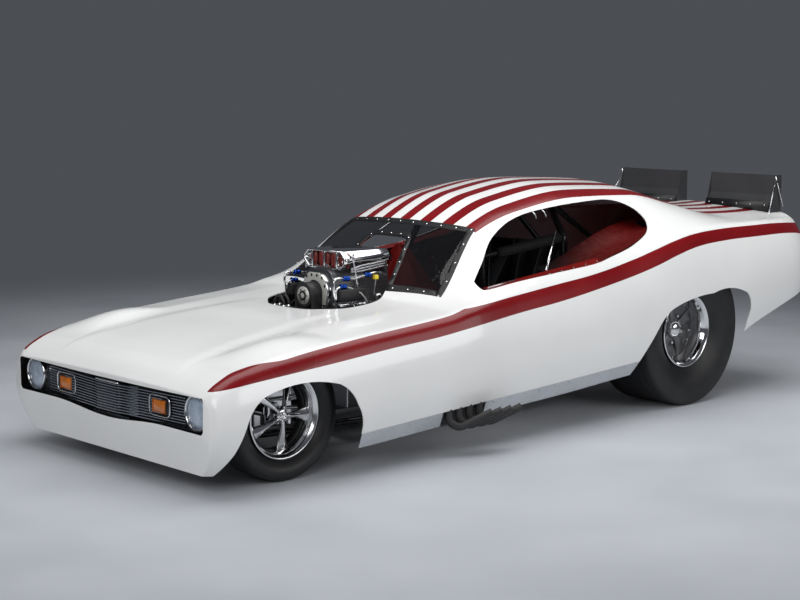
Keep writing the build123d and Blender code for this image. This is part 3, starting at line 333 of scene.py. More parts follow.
def weave(name, colour, pitch=900.0, sheen=0.3):
    """Plain woven cloth or webbing."""
    shade = Shade(name)
    warp = (shade.x * pitch).math("SINE") * (shade.z * pitch).math("SINE")
    fuzz = shade.noise(300.0, 3.0)
    mask = (warp * 0.35 + fuzz).step(0.2, 0.9)
    return shade.finish(
        base_color=shade.mix(mask, tuple(c * 0.6 for c in colour), colour),
        roughness=mask.step(0.0, 1.0, 0.95, 0.8),
        sheen_weight=sheen,
        normal=shade.bump(warp * 0.5 + fuzz * 0.5, 0.4, 0.0006),
    )


def crackle(name, colour):
    """Black wrinkle paint on castings and covers."""
    shade = Shade(name)
    cells = shade.node("TexVoronoi", {"feature": "SMOOTH_F1"}, {"Vector": shade.place, "Scale": 260.0})
    return shade.finish(
        base_color=shade.mix(cells.step(0.1, 0.6), tuple(c * 1.6 for c in colour), colour),
        roughness=cells.step(0.0, 0.7, 0.42, 0.6),
        normal=shade.bump(cells, 0.5, 0.0006),
    )


def drilled_grey(name):
    """Brushed disc steel with rings from turning."""
    shade = Shade(name)
    dx = shade.x - REAR_AXLE[0]
    dz = shade.z - REAR_AXLE[1]
    rings = ((dx * dx + dz * dz).math("SQRT") * 2600.0).math("SINE")
    grain = shade.noise(120.0, 3.0)
    return shade.finish(
        base_color=shade.mix(grain.step(0.3, 0.7), (0.30, 0.30, 0.31), (0.46, 0.46, 0.47)),
        roughness=grain.step(0.3, 0.7, 0.28, 0.42), metallic=1.0,
        normal=shade.bump(rings, 0.12, 0.0004),
    )


def inner_red_with_painted_shade(name):
    """Inside of the body: dark red, with painted shade that turns it black above the windows and towards the front."""
    shade = Shade(name)
    cloud = shade.noise(25.0, 4.0)
    # Painted shade: black above a line that rises towards the rear, and black over all the front part.
    edge = (shade.z + shade.x * 0.14).step(0.90, 0.96)
    edge = (edge + shade.x.step(-1.0, -0.3)).math("MINIMUM", 1.0)
    red = shade.mix(cloud.step(0.3, 0.7), (0.10, 0.003, 0.003), (0.14, 0.005, 0.004))
    return shade.finish(
        base_color=shade.mix(edge, red, (0.004, 0.004, 0.005)),
        roughness=cloud.step(0.3, 0.7, 0.45, 0.6),
        normal=shade.bump(cloud, 0.2, 0.001),
    )


def red_shelf_with_painted_shade(name):
    """Red sheet beside the windows, with painted shade that turns it black towards the front, the middle and the top of
    the car.
    """
    shade = Shade(name)
    grain = shade.noise(40.0, 3.0)
    # Painted shade: the red fades to black towards the front, the middle of the car and higher up.
    painted_shade = (shade.x * 2.0 + shade.y.absolute() * -1.6 + shade.z * 1.5).step(-0.95, 0.15)
    red = shade.mix(grain.step(0.3, 0.7), (0.075, 0.0025, 0.0015), (0.095, 0.003, 0.002))
    return shade.finish(
        base_color=shade.mix(painted_shade, red, (0.005, 0.004, 0.004)),
        roughness=grain.step(0.3, 0.7, 0.35, 0.5), specular_ior_level=0.25,
        normal=shade.bump(grain, 0.1, 0.0005),
    )


def make_finishes(car):
    """All the finishes, by name."""
    FINISH.update({
        "paint": body_paint("body_white_gloss", car),
        "inner": inner_red_with_painted_shade("inner_red_painted_shade_black"),
        "shelf": red_shelf_with_painted_shade("window_shelf_red_painted_shade"),
        "screen": clear_sheet("clear_sheet"),
        "black_gloss": worn("frame_black_gloss", (0.008, 0.008, 0.009), 0.24, grain=90, bump=0.03, coat_weight=0.2),
        "black_satin": worn("satin_black", (0.018, 0.018, 0.019), 0.42, grain=180),
        "border": worn("screen_border_black", (0.005, 0.005, 0.006), 0.5, grain=200),
        "grille": worn("grille_black", (0.020, 0.021, 0.024), 0.32, metal=0.5, grain=150),
        "bars": worn("grille_bar_metal", (0.34, 0.36, 0.40), 0.26, metal=1.0, grain=200),
        "spoiler": worn("spoiler_grey", (0.034, 0.035, 0.038), 0.42, grain=220, spread=0.08, bump=0.05),
        "sheet": worn("plain_sheet", (0.60, 0.61, 0.64), 0.34, metal=0.9, grain=40, stretch=(1, 1, 14), bump=0.06),
        "chrome": worn("polished_metal", (0.80, 0.80, 0.81), 0.09, metal=1.0, grain=14, spread=0.05, bump=0.02),
        "polished": worn("polished_aluminium", (0.74, 0.74, 0.75), 0.16, metal=1.0, grain=70, spread=0.06, bump=0.04),
        "pale": worn("pale_machined", (0.62, 0.61, 0.57), 0.42, metal=0.45, grain=90, bump=0.15),
        "steel": worn("machined_steel", (0.50, 0.51, 0.53), 0.3, metal=1.0, grain=110),
        "cast": worn("cast_grey", (0.15, 0.15, 0.155), 0.46, metal=0.85, grain=240, bump=0.35),
        "case": worn("blower_case_grey", (0.20, 0.20, 0.21), 0.32, metal=0.95, grain=160, bump=0.2),
        "crackle": crackle("wrinkle_black", (0.012, 0.012, 0.013)),
        "belt": worn("belt_rubber", (0.016, 0.016, 0.018), 0.55, grain=260, bump=0.2),
        "pipe": worn("pipe_heat_black", (0.024, 0.023, 0.024), 0.55, grain=120, spread=0.3, bump=0.2),
        # Soot and painted shade for the closed pipe ends.
        "soot_and_shade": worn("pipe_mouth_soot_and_shade", (0.006, 0.006, 0.006), 0.9, grain=120),
        "red_tin": worn("red_sheet", (0.17, 0.005, 0.004), 0.35, grain=50, bump=0.05, specular_ior_level=0.3),
        "red_plate": worn("butterfly_red", (0.22, 0.03, 0.024), 0.35, grain=80, metal=0.3),
        "blue": worn("blue_anodised", (0.01, 0.07, 0.42), 0.22, metal=0.9, grain=60),
        "yellow": worn("yellow_cap", (0.72, 0.55, 0.03), 0.35, grain=60),
        # Black of the hoses, also used for painted shade: the front rims' liners and the black discs for holes in the
        # pulleys and drive plate.
        "hose": worn("hose_black_and_painted_shade", (0.010, 0.010, 0.010), 0.5, grain=300),
        "wire": worn("wire_black", (0.016, 0.016, 0.018), 0.45, grain=200),
        "braid": braid("braided_sleeve", (0.62, 0.62, 0.64)),
        "lens": fluted_lens("lamp_lens", (0.26, 0.31, 0.38), 520.0),
        "amber": fluted_lens("amber_lens", (0.46, 0.125, 0.008), 700.0),
        "red_lens": fluted_lens("red_lens", (0.30, 0.008, 0.008), 600.0),
        "cloth": weave("pack_cloth", (0.020, 0.021, 0.026)),
        "webbing": weave("harness_webbing", (0.020, 0.018, 0.018), 1500.0),
        "vinyl": worn("seat_vinyl", (0.016, 0.016, 0.017), 0.5, grain=320, bump=0.3),
        "foam": worn("padding_black", (0.007, 0.007, 0.008), 0.8, grain=260, bump=0.4),
        "front_rubber": tyre_rubber("front_tyre_rubber", FRONT_AXLE),
        "rear_rubber": tyre_rubber("rear_tyre_rubber", REAR_AXLE),
        "disc": drilled_grey("disc_steel"),
    })


# ---------------------------------------------------------------- mesh helpers

def linked(name, mesh):
    """An object of the mesh, linked to the scene."""
    made = bpy.data.objects.new(name, mesh)
    bpy.context.scene.collection.objects.link(made)
    return made


def drawn(work, name, material):
    """An object of the finished bmesh, which it frees."""
    mesh = bpy.data.meshes.new(name)
    work.to_mesh(mesh)
    work.free()
    mesh.materials.append(FINISH[material])
    return linked(name, mesh)


def strips(rows, sides, loop=True, wrap=True, turn=False):
    """Faces between rows of points with sides points each; the rows may loop and each row may wrap."""
    faces = []
    for i in range(rows if loop else rows - 1):
        j = (i + 1) % rows
        for k in range(sides if wrap else sides - 1):
            m = (k + 1) % sides
            a, b, c, d = i * sides + k, j * sides + k, j * sides + m, i * sides + m
            faces.append((a, d, c, b) if turn else (a, b, c, d))
    return faces


def end_caps(rows, sides):
    """The faces that close the first and the last row."""
    return [tuple(range(sides))[::-1], tuple(range((rows - 1) * sides, rows * sides))]


def new_piece(name, verts, faces, material, smooth=True):
    """An object from points and faces."""
    mesh = bpy.data.meshes.new(name)
    mesh.from_pydata([tuple(map(float, v)) for v in verts], [], [tuple(map(int, f)) for f in faces])
    mesh.materials.append(FINISH[material])
    if smooth:
        mesh.shade_smooth()
    return linked(name, mesh)


def solid_mesh(made):
    """Merges doubles and turns all faces outward."""
    work = bmesh.new()
    work.from_mesh(made.data)
    bmesh.ops.remove_doubles(work, verts=work.verts, dist=1e-6)
    bmesh.ops.recalc_face_normals(work, faces=work.faces)
    work.to_mesh(made.data)
    work.free()
    return made


def bake(made):
    """Turns the object's modifiers into its mesh."""
    graph = bpy.context.evaluated_depsgraph_get()
    mesh = bpy.data.meshes.new_from_object(made.evaluated_get(graph))
    made.modifiers.clear()
    made.data = mesh
    return made


def crease(made, degrees=35):
    """Keeps edges sharper than this angle crisp."""
    made.data.shade_smooth()
    made.data.set_sharp_from_angle(angle=math.radians(degrees))
    return made


def place(made, body, slot=None, replaced=()):
    """Rides on a body and hides the nodes that it stands for; its slot is not used."""
    if replaced:
        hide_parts(*replaced)
    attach(made, body)
    return made


def join(name, made):
    """Joins several objects into the first."""
    verts, faces, marks, mats, smooth = [], [], [], [], []
    for one in made:
        shift = len(verts)
        local = [one.matrix_world @ v.co for v in one.data.vertices]
        verts.extend(local)
        for face in one.data.polygons:
            faces.append([shift + i for i in face.vertices])
            mat = one.data.materials[face.material_index]
            if mat not in mats:
                mats.append(mat)
            marks.append(mats.index(mat))
            smooth.append(face.use_smooth)
    mesh = bpy.data.meshes.new(name)
    mesh.from_pydata([tuple(v) for v in verts], [], faces)
    for mat in mats:
        mesh.materials.append(mat)
    mesh.polygons.foreach_set("material_index", marks)
    mesh.polygons.foreach_set("use_smooth", smooth)
    mesh.update()
    for one in made:
        bpy.data.objects.remove(one)
    return linked(name, mesh)


def lathe(name, profile, axle, side, material, steps=96, sharp=32):
    """Turns (distance across, radius) points round an axle that lies across the car."""
    verts = []
    for i in range(steps):
        a = 2 * math.pi * i / steps
        for across, radius in profile:
            verts.append((axle[0] + radius * math.cos(a), side * across, axle[1] + radius * math.sin(a)))
    faces = strips(steps, len(profile))
    return crease(solid_mesh(new_piece(name, verts, faces, material)), sharp)


def turned(name, profile, base, axis, material, steps=48, sharp=32):
    """Turns (distance along, radius) points round any axis from a base point; ends close at radius 0."""
    axis = Vector(axis).normalized()
    u = axis.orthogonal().normalized()
    v = axis.cross(u)
    verts = []
    for i in range(steps):
        a = 2 * math.pi * i / steps
        way = u * math.cos(a) + v * math.sin(a)
        for along, radius in profile:
            verts.append(Vector(base) + axis * along + way * radius)
    faces = strips(steps, len(profile), wrap=False)
    return crease(solid_mesh(new_piece(name, verts, faces, material)), sharp)


def spline(points, steps=8, closed=False):
    """Smooth points through the given ones."""
    pts = [Vector(p) for p in points]
    out = []
    n = len(pts)
    for i in range(n if closed else n - 1):
        p0 = pts[i - 1] if closed or i > 0 else pts[0] * 2 - pts[1]
        p1 = pts[i]
        p2 = pts[(i + 1) % n]
        p3 = pts[(i + 2) % n] if closed or i + 2 < n else p2 * 2 - p1
        for s in range(steps):
            t = s / steps
            out.append(
                0.5 * (2 * p1 + (p2 - p0) * t + (2 * p0 - 5 * p1 + 4 * p2 - p3) * t * t
                       + (3 * p1 - p0 - 3 * p2 + p3) * t * t * t)
            )
    if not closed:
        out.append(pts[-1])
    return out


def pipe(name, points, radius, material, steps=8, sides=14, closed=False, smooth=True):
    """A round tube along a smooth route."""
    path = spline(points, steps, closed) if smooth else [Vector(p) for p in points]
    n = len(path)
    radii = radius if isinstance(radius, (list, tuple)) else [radius] * n
    if len(radii) != n:
        radii = [radii[min(int(i * len(radii) / n), len(radii) - 1)] for i in range(n)]
    verts = []
    way = (path[1] - path[0]).normalized()
    u = way.orthogonal().normalized()
    for i, p in enumerate(path):
        if closed:
            new = (path[(i + 1) % n] - path[i - 1]).normalized()
        else:
            new = (path[min(i + 1, n - 1)] - path[max(i - 1, 0)]).normalized()
        u = (u - new * u.dot(new)).normalized()
        v = new.cross(u)
        for k in range(sides):
            a = 2 * math.pi * k / sides
            verts.append(p + (u * math.cos(a) + v * math.sin(a)) * radii[i])
    faces = strips(n, sides, loop=closed, turn=True) + ([] if closed else end_caps(n, sides))
    return crease(new_piece(name, verts, faces, material), 50)


def sorted_pair(a, b):
    """Two corners put in order along every axis."""
    return tuple(min(p) for p in zip(a, b)), tuple(max(p) for p in zip(a, b))


def slab(name, low, high, material, edge=0.003, steps=2):
    """A box between two corners with rounded edges."""
    work = bmesh.new()
    bmesh.ops.create_cube(work, size=1.0)
    size = [b - a for a, b in zip(low, high)]
    mid = [(a + b) / 2 for a, b in zip(low, high)]
    for vert in work.verts:
        vert.co = Vector([mid[k] + vert.co[k] * size[k] for k in range(3)])
    if edge:
        bmesh.ops.bevel(
            work, geom=work.edges[:], offset=min(edge, min(size) * 0.45), segments=steps, profile=0.5,
            affect="EDGES",
        )
    bmesh.ops.recalc_face_normals(work, faces=work.faces)
    return crease(drawn(work, name, material), 40)


def plate(name, outline, normal, thick, material, edge=0.0):
    """A flat plate from 3-D outline points, thickened along its normal."""
    work = bmesh.new()
    verts = [work.verts.new(Vector(p)) for p in outline]
    face = work.faces.new(verts)
    shift = Vector(normal).normalized() * thick
    moved = bmesh.ops.extrude_face_region(work, geom=[face])
    for item in moved["geom"]:
        if isinstance(item, bmesh.types.BMVert):
            item.co += shift
    if edge:
        bmesh.ops.bevel(work, geom=work.edges[:], offset=edge, segments=2, profile=0.5, affect="EDGES")
    bmesh.ops.recalc_face_normals(work, faces=work.faces)
    return crease(drawn(work, name, material), 30)


def cutter(outline, axis, low, high):
    """A prism across or up through the body, used to cut it."""
    def point(p, at):
        return (p[0], at, p[1]) if axis == "Y" else (p[0], p[1], at) if axis == "Z" else (at, p[0], p[1])
    n = len(outline)
    verts = [point(p, low) for p in outline] + [point(p, high) for p in outline]
    faces = [tuple(range(n)), tuple(range(n, 2 * n))[::-1]]
    faces += [(i, i + n, (i + 1) % n + n, (i + 1) % n) for i in range(n)]
    return solid_mesh(new_piece("cutter", verts, faces, "paint", smooth=False))


def carve(made, cutters, operation="DIFFERENCE"):
    """Cuts or intersects with the cutters, one by one, and removes them."""
    for tool in cutters:
        step = made.modifiers.new("Cut", "BOOLEAN")
        step.operation = operation
        step.solver = "EXACT"
        step.object = tool
    bake(made)
    for tool in cutters:
        bpy.data.objects.remove(tool)
    return made


# ---------------------------------------------------------------- geometry nodes

def wire(tree, pairs):
    """Links each output to its input."""
    for source, target in pairs:
        tree.links.new(source, target)


def repeat_tree(name, build, inputs):
    """A node group with named inputs that ends in Realize Instances and Set Material."""
    tree = bpy.data.node_groups.new(name, "GeometryNodeTree")
    tree.interface.new_socket("Geometry", in_out="INPUT", socket_type="NodeSocketGeometry")
    for label, kind, value in inputs:
        socket = tree.interface.new_socket(label, in_out="INPUT", socket_type=kind)
        if value is not None:
            socket.default_value = value
    tree.interface.new_socket("Geometry", in_out="OUTPUT", socket_type="NodeSocketGeometry")
    start = tree.nodes.new("NodeGroupInput")
    end = tree.nodes.new("NodeGroupOutput")
    instances = build(tree, start)
    real = tree.nodes.new("GeometryNodeRealizeInstances")
    paint = tree.nodes.new("GeometryNodeSetMaterial")
    wire(tree, (
        (instances, real.inputs[0]),
        (real.outputs[0], paint.inputs["Geometry"]),
        (start.outputs["Material"], paint.inputs["Material"]),
        (paint.outputs[0], end.inputs[0]),
    ))
    return tree


def dome_build(tree, start):
    """A low round head on each point, turned to the point's own direction."""
    ball = tree.nodes.new("GeometryNodeMeshUVSphere")
    ball.inputs["Segments"].default_value = 10
    ball.inputs["Rings"].default_value = 5
    size = tree.nodes.new("ShaderNodeCombineXYZ")
    shape = tree.nodes.new("GeometryNodeTransform")
    aim = tree.nodes.new("GeometryNodeInputNamedAttribute")
    aim.data_type = "FLOAT_VECTOR"
    aim.inputs["Name"].default_value = "aim"
    turn = tree.nodes.new("FunctionNodeAlignRotationToVector")
    turn.axis = "Z"
    put = tree.nodes.new("GeometryNodeInstanceOnPoints")
    tree.links.new(start.outputs["Radius"], ball.inputs["Radius"])
    tree.links.new(start.outputs["Rise"], size.inputs["Z"])
    size.inputs["X"].default_value = size.inputs["Y"].default_value = 1.0
    wire(tree, (
        (ball.outputs[0], shape.inputs["Geometry"]),
        (size.outputs[0], shape.inputs["Scale"]),
        (aim.outputs["Attribute"], turn.inputs["Vector"]),
        (start.outputs["Geometry"], put.inputs["Points"]),
        (shape.outputs[0], put.inputs["Instance"]),
        (turn.outputs[0], put.inputs["Rotation"]),
    ))
    return put.outputs[0]


def bar_build(tree, start):
    """A row of bars, each a stretched cube, from one place on by a fixed step."""
    line = tree.nodes.new("GeometryNodeMeshLine")
    cube = tree.nodes.new("GeometryNodeMeshCube")
    put = tree.nodes.new("GeometryNodeInstanceOnPoints")
    wire(tree, (
        (start.outputs["Count"], line.inputs["Count"]),
        (start.outputs["Start"], line.inputs["Start Location"]),
        (start.outputs["Step"], line.inputs["Offset"]),
        (start.outputs["Size"], cube.inputs["Size"]),
        (line.outputs[0], put.inputs["Points"]),
        (cube.outputs[0], put.inputs["Instance"]),
        (start.outputs["Turn"], put.inputs["Rotation"]),
    ))
    return put.outputs[0]


def ring_build(tree, start):
    """Cubes evenly round a circle, each facing outward."""
    ring = tree.nodes.new("GeometryNodeMeshCircle")
    cube = tree.nodes.new("GeometryNodeMeshCube")
    centre = tree.nodes.new("GeometryNodeInputPosition")
    turn = tree.nodes.new("FunctionNodeAlignRotationToVector")
    turn.axis = "X"
    put = tree.nodes.new("GeometryNodeInstanceOnPoints")
    stand = tree.nodes.new("GeometryNodeTransform")
    wire(tree, (
        (start.outputs["Count"], ring.inputs["Vertices"]),
        (start.outputs["Radius"], ring.inputs["Radius"]),
        (start.outputs["Size"], cube.inputs["Size"]),
        (centre.outputs[0], turn.inputs["Vector"]),
        (ring.outputs[0], put.inputs["Points"]),
        (cube.outputs[0], put.inputs["Instance"]),
        (turn.outputs[0], put.inputs["Rotation"]),
        (put.outputs[0], stand.inputs["Geometry"]),
        (start.outputs["Centre"], stand.inputs["Translation"]),
        (start.outputs["Turn"], stand.inputs["Rotation"]),
    ))
    return stand.outputs[0]


def node_tree(kind):
    """The shared node group of a kind, made once."""
    if kind not in TREES:
        material = ("Material", "NodeSocketMaterial", None)
        TREES[kind] = {
            "domes": lambda: repeat_tree("Heads On Points", dome_build, [
                ("Radius", "NodeSocketFloat", 0.005), ("Rise", "NodeSocketFloat", 0.5), material]),
            "bars": lambda: repeat_tree("Row Of Bars", bar_build, [
                ("Count", "NodeSocketInt", 10), ("Start", "NodeSocketVector", (0, 0, 0)),
                ("Step", "NodeSocketVector", (0, 0, 0.01)), ("Size", "NodeSocketVector", (0.1, 0.1, 0.004)),
                ("Turn", "NodeSocketRotation", None), material]),
            "ring": lambda: repeat_tree("Teeth Round A Ring", ring_build, [
                ("Count", "NodeSocketInt", 36), ("Radius", "NodeSocketFloat", 0.07),
                ("Size", "NodeSocketVector", (0.004, 0.004, 0.07)), ("Centre", "NodeSocketVector", (0, 0, 0)),
                ("Turn", "NodeSocketRotation", None), material]),
        }[kind]()
    return TREES[kind]


def repeated(name, kind, material, points=None, aims=None, **values):
    """One plain mesh made by a node group, from points where it has them."""
    mesh = bpy.data.meshes.new(name)
    mesh.from_pydata([tuple(p) for p in (points or [(0, 0, 0)])], [], [])
    if aims is not None:
        mark = mesh.attributes.new("aim", "FLOAT_VECTOR", "POINT")
        mark.data.foreach_set("vector", np.array([tuple(a) for a in aims], np.float32).ravel())
    made = linked(name, mesh)
    step = made.modifiers.new("Repeat", "NODES")
    step.node_group = node_tree(kind)
    ids = {s.name: s.identifier for s in step.node_group.interface.items_tree if s.in_out == "INPUT"}
    step[ids["Material"]] = FINISH[material]
    for label, value in values.items():
        step[ids[label.title()]] = value
    return bake(made)


# ---------------------------------------------------------------- body surface

def through(x, xs, ys):
    """Values at x of a smooth line through the rows that never overshoots them."""
    h = np.diff(xs)
    d = np.diff(ys) / h
    m = np.zeros(len(xs))
    same = d[:-1] * d[1:] > 0
    m[1:-1][same] = 2 * (d[:-1] * d[1:])[same] / (d[:-1] + d[1:])[same]
    m[0], m[-1] = d[0], d[-1]
    k = np.clip(np.searchsorted(xs, x) - 1, 0, len(xs) - 2)
    t = (x - xs[k]) / h[k]
    return (
        ys[k] * (1 + 2 * t) * (1 - t) ** 2 + m[k] * h[k] * t * (1 - t) ** 2
        + ys[k + 1] * t * t * (3 - 2 * t) + m[k + 1] * h[k] * t * t * (t - 1)
    )


def half_section(x):
    """(y, z) points of the left half of the body at x, from the sill up to the crown."""
    cols = [float(through(np.array([x]), BODY_ROWS[:, 0], BODY_ROWS[:, k])[0]) for k in range(1, 10)]
    sill_in, sill_z, waist_in, waist_z, shoulder_in, shoulder_z, rail_y, rail_z, crown_z = cols
    y0, y1, y2 = HALF_WIDTH - sill_in, HALF_WIDTH - waist_in, HALF_WIDTH - shoulder_in
    z0, z1, z2 = sill_z, waist_z, shoulder_z

    def flank(z):
        return (
            y0 * (z - z1) * (z - z2) / ((z0 - z1) * (z0 - z2))
            + y1 * (z - z0) * (z - z2) / ((z1 - z0) * (z1 - z2))
            + y2 * (z - z0) * (z - z1) / ((z2 - z0) * (z2 - z1))
        )

    def crown(y):
        return crown_z - (crown_z - rail_z) * (y / rail_y) ** 2

    shoulder = np.array((y2, z2))
    rail = np.array((rail_y, rail_z))
    gap = np.linalg.norm(rail - shoulder)
    low_z = z2 - 0.045
    start = np.array((flank(low_z), low_z))
    end = shoulder + (rail - shoulder) * min(0.045 / gap, 0.4)
    roof = np.clip((0.9 - x) / 0.4, 0, 1) * np.clip((x + 2.3) / 0.4, 0, 1)
    round_rail = 0.03 + 0.045 * roof
    rail_start = rail + (shoulder - rail) * min(round_rail / gap, 0.45)
    rail_end_y = rail_y - round_rail
    rail_end = np.array((rail_end_y, crown(rail_end_y)))
    points = [(flank(z), z) for z in np.linspace(z0, low_z, 14)[:-1]]
    for a, b, c, n in ((start, shoulder, end, 8), (rail_start, rail, rail_end, 8)):
        if a is rail_start:
            points += [tuple(end + (rail_start - end) * t) for t in np.linspace(0, 1, 9)[:-1]]
        points += [tuple(a * (1 - t) ** 2 + 2 * b * t * (1 - t) + c * t * t) for t in np.linspace(0, 1, n + 1)[:-1]]
    points += [(y, crown(y)) for y in np.linspace(rail_end_y, 0, 16)]
    return points


def shaped(p):
    """Bends a point of the plain skin to the nose, the fender crests and the hood's raised middle."""
    x, y, z = p
    side = abs(y)
    fender = max(0, 1 - ((x - 1.86) / 0.30) ** 2) * max(0, 1 - ((side - 0.67) / 0.16) ** 2)
    top = min(max((z - 0.5) / 0.06, 0), 1)
    z += 0.032 * fender ** 1.5 * top
    if 1.1 < x < 2.34 and z > 0.5:
        edge = 0.34 + 0.15 * (x - 1.1) / 1.2
        rise = min(max((edge + 0.02 - side) / 0.04, 0), 1)
        run = min(max((x - 1.1) / 0.3, 0), 1) * min(max((2.34 - x) / 0.25, 0), 1)
        z += 0.007 * rise * rise * (3 - 2 * rise) * run
    if x > 2.2:
        x -= (0.022 + 0.006 * max(0, 1 - (y / 0.78) ** 2)) * min((x - 2.2) / 0.15, 1)
    lean = 2.345 - 0.055 * (0.290 - z) / 0.290
    if z < 0.290 and x > lean:
        x = lean
    return x, y, z


def skin_surface(step):
    """Makes and keeps the body's outer surface: one open mesh, closed at nose and tail."""
    xs = np.unique(np.round(np.concatenate((
        np.linspace(-2.37, 2.28, int(4.65 / step)), np.linspace(2.28, 2.37, 12), np.linspace(-2.37, -2.30, 6),
    )), 4))
    rings = []
    for x in xs:
        half = half_section(x)
        ring = [(x, y, z) for y, z in half] + [(x, -y, z) for y, z in half[-2::-1]]
        rings.append(ring)
    caps = 10
    nose = [[(x, y * s, z) for x, y, z in rings[-1]] for s in np.linspace(1, 0, caps)[1:]]
    tail = [[(x, y * s, z) for x, y, z in rings[0]] for s in np.linspace(0, 1, caps)[:-1]]
    rings = tail + rings + nose
    n = len(rings[0])
    verts = [shaped(p) for ring in rings for p in ring]
    faces = [
        (i * n + k, (i + 1) * n + k, (i + 1) * n + k + 1, i * n + k + 1)
        for i in range(len(rings) - 1) for k in range(n - 1)
    ]
    mesh = bpy.data.meshes.new("skin")
    mesh.from_pydata(verts, [], faces)
    work = bmesh.new()
    work.from_mesh(mesh)
    bmesh.ops.remove_doubles(work, verts=work.verts, dist=1e-5)
    work.normal_update()
    work.faces.ensure_lookup_table()
    highest = max(work.faces, key=lambda f: f.calc_center_median().z)
    if highest.normal.z < 0:
        bmesh.ops.reverse_faces(work, faces=work.faces)
    SKIN["tree"] = BVHTree.FromBMesh(work)
    work.to_mesh(mesh)
    work.free()
    mesh.shade_smooth()
    SKIN["mesh"] = mesh


def skin_part(name, low, high, wall, offset, material):
    """A solid copy of the skin within a box."""
    made = linked(name, SKIN["mesh"].copy())
    made.data.materials.append(FINISH[material])
    work = bmesh.new()
    work.from_mesh(made.data)
    out = [
        f for f in work.faces
        if not all(low[k] <= f.calc_center_median()[k] <= high[k] for k in range(3))
    ]
    bmesh.ops.delete(work, geom=out, context="FACES")
    work.to_mesh(made.data)
    work.free()
    step = made.modifiers.new("Wall", "SOLIDIFY")
    step.thickness = wall
    step.offset = offset
    return bake(made)


def skin_normals(made):
    """Gives the outer faces the smooth skin's own normals, so that cuts leave no marks in the gloss."""
    mesh = made.data
    mesh.shade_smooth()
    tree = SKIN["tree"]
    source = SKIN["mesh"]
    corner = np.zeros(len(source.vertices) * 3)
    source.vertices.foreach_get("normal", corner)
    corner = corner.reshape(-1, 3)
    co = np.array([v.co for v in source.vertices])
    polys = [tuple(p.vertices) for p in source.polygons]
    smooth = {}
    normals = [None] * len(mesh.loops)
    for face in mesh.polygons:
        flat = Vector(face.normal)
        for li in face.loop_indices:
            vi = mesh.loops[li].vertex_index
            if vi not in smooth:
                spot, _, index, _ = tree.find_nearest(mesh.vertices[vi].co)
                ids = polys[index]
                weights = np.array([1 / (np.linalg.norm(co[i] - np.array(spot)) ** 2 + 1e-9) for i in ids])
                blend = (corner[list(ids)] * weights[:, None]).sum(0)
                smooth[vi] = Vector(blend).normalized()
            way = smooth[vi]
            turn = flat.dot(way)
            normals[li] = way if turn > 0.82 else -way if turn < -0.82 else flat
    mesh.normals_split_custom_set(normals)
    return made


def on_skin(x, y):
    """The top of the body over a plan point, and the direction it faces."""
    return SKIN["tree"].ray_cast(Vector((x, y, 3)), Vector((0, 0, -1)))[:2]


def on_side(x, z, side):
    """The side of the body at x and height z, and the direction it faces."""
    return SKIN["tree"].ray_cast(Vector((x, side * 2, z)), Vector((0, -side, 0)))[:2]


def arc3(a, b, c, steps=10):
    """Points on the arc through three points of a plane, without the last one."""
    (ax, ay), (bx, by), (cx, cy) = a, b, c
    d = 2 * (ax * (by - cy) + bx * (cy - ay) + cx * (ay - by))
    ux = ((ax * ax + ay * ay) * (by - cy) + (bx * bx + by * by) * (cy - ay) + (cx * cx + cy * cy) * (ay - by)) / d
    uy = ((ax * ax + ay * ay) * (cx - bx) + (bx * bx + by * by) * (ax - cx) + (cx * cx + cy * cy) * (bx - ax)) / d
    r = math.hypot(ax - ux, ay - uy)
    t0, t1, t2 = (math.atan2(y - uy, x - ux) for x, y in (a, b, c))
    while t1 < t0:
        t1 += 2 * math.pi
    while t2 < t0:
        t2 += 2 * math.pi
    if t1 > t2:
        t2 -= 2 * math.pi
    return [(ux + r * math.cos(t0 + (t2 - t0) * i / steps),
             uy + r * math.sin(t0 + (t2 - t0) * i / steps)) for i in range(steps)]


def front_arch_line():
    """Side outline of the front wheel arch, open at its foot."""
    return (
        [(FX - .335, .05), (FX - .335, .243)]
        + arc3((FX - .335, .243), (FX - .322, .300), (FX - .292, .355), 5)
        + arc3((FX - .292, .355), (FX - .255, .413), (FX - .186, .464), 8)
        + arc3((FX - .186, .464), (FX - .006, .493), (FX + .244, .456), 16)
        + arc3((FX + .244, .456), (FX + .310, .410), (FX + .352, .338), 10)
        + [(FX + .352, .338), (FX + .398, .208), (FX + .470, .05)]
    )


def rear_arch_line():
    """Side outline of the rear wheel arch, open at its foot."""
    return (
        [(RX + .611, .20), (RX + .445, .417), (RX + .384, .496)]
        + arc3((RX + .384, .496), (RX + .323, .559), (RX + .251, .599), 8)
        + arc3((RX + .251, .599), (RX + .100, .636), (RX - .127, .657), 12)
        + arc3((RX - .127, .657), (RX - .370, .664), (RX - .469, .632), 12)
        + arc3((RX - .469, .632), (RX - .513, .580), (RX - .527, .518), 8)
        + [(RX - .527, .518), (RX - .511, .446), (RX - .505, .20)]
    )


WINDOW = (
    (.547, .812), (.545, .838), (.526, .856), (.428, .933), (.334, 1.013), (.263, 1.060), (.179, 1.102), (.088, 1.135),
    (-.057, 1.166), (-.303, 1.193), (-.561, 1.207), (-.698, 1.208), (-.800, 1.190), (-.874, 1.150), (-.893, 1.100),
    (-.872, 1.060), (-.819, 1.022), (-.735, .988), (-.605, .947), (-.452, .913), (-.302, .884), (-.023, .860),
    (.288, .832), (.500, .806), (.535, .803),
)


def window_line():
    """Side outline of the side windows."""
    return [(p.x, p.y) for p in spline([(x, z, 0) for x, z in WINDOW], 3, True)]


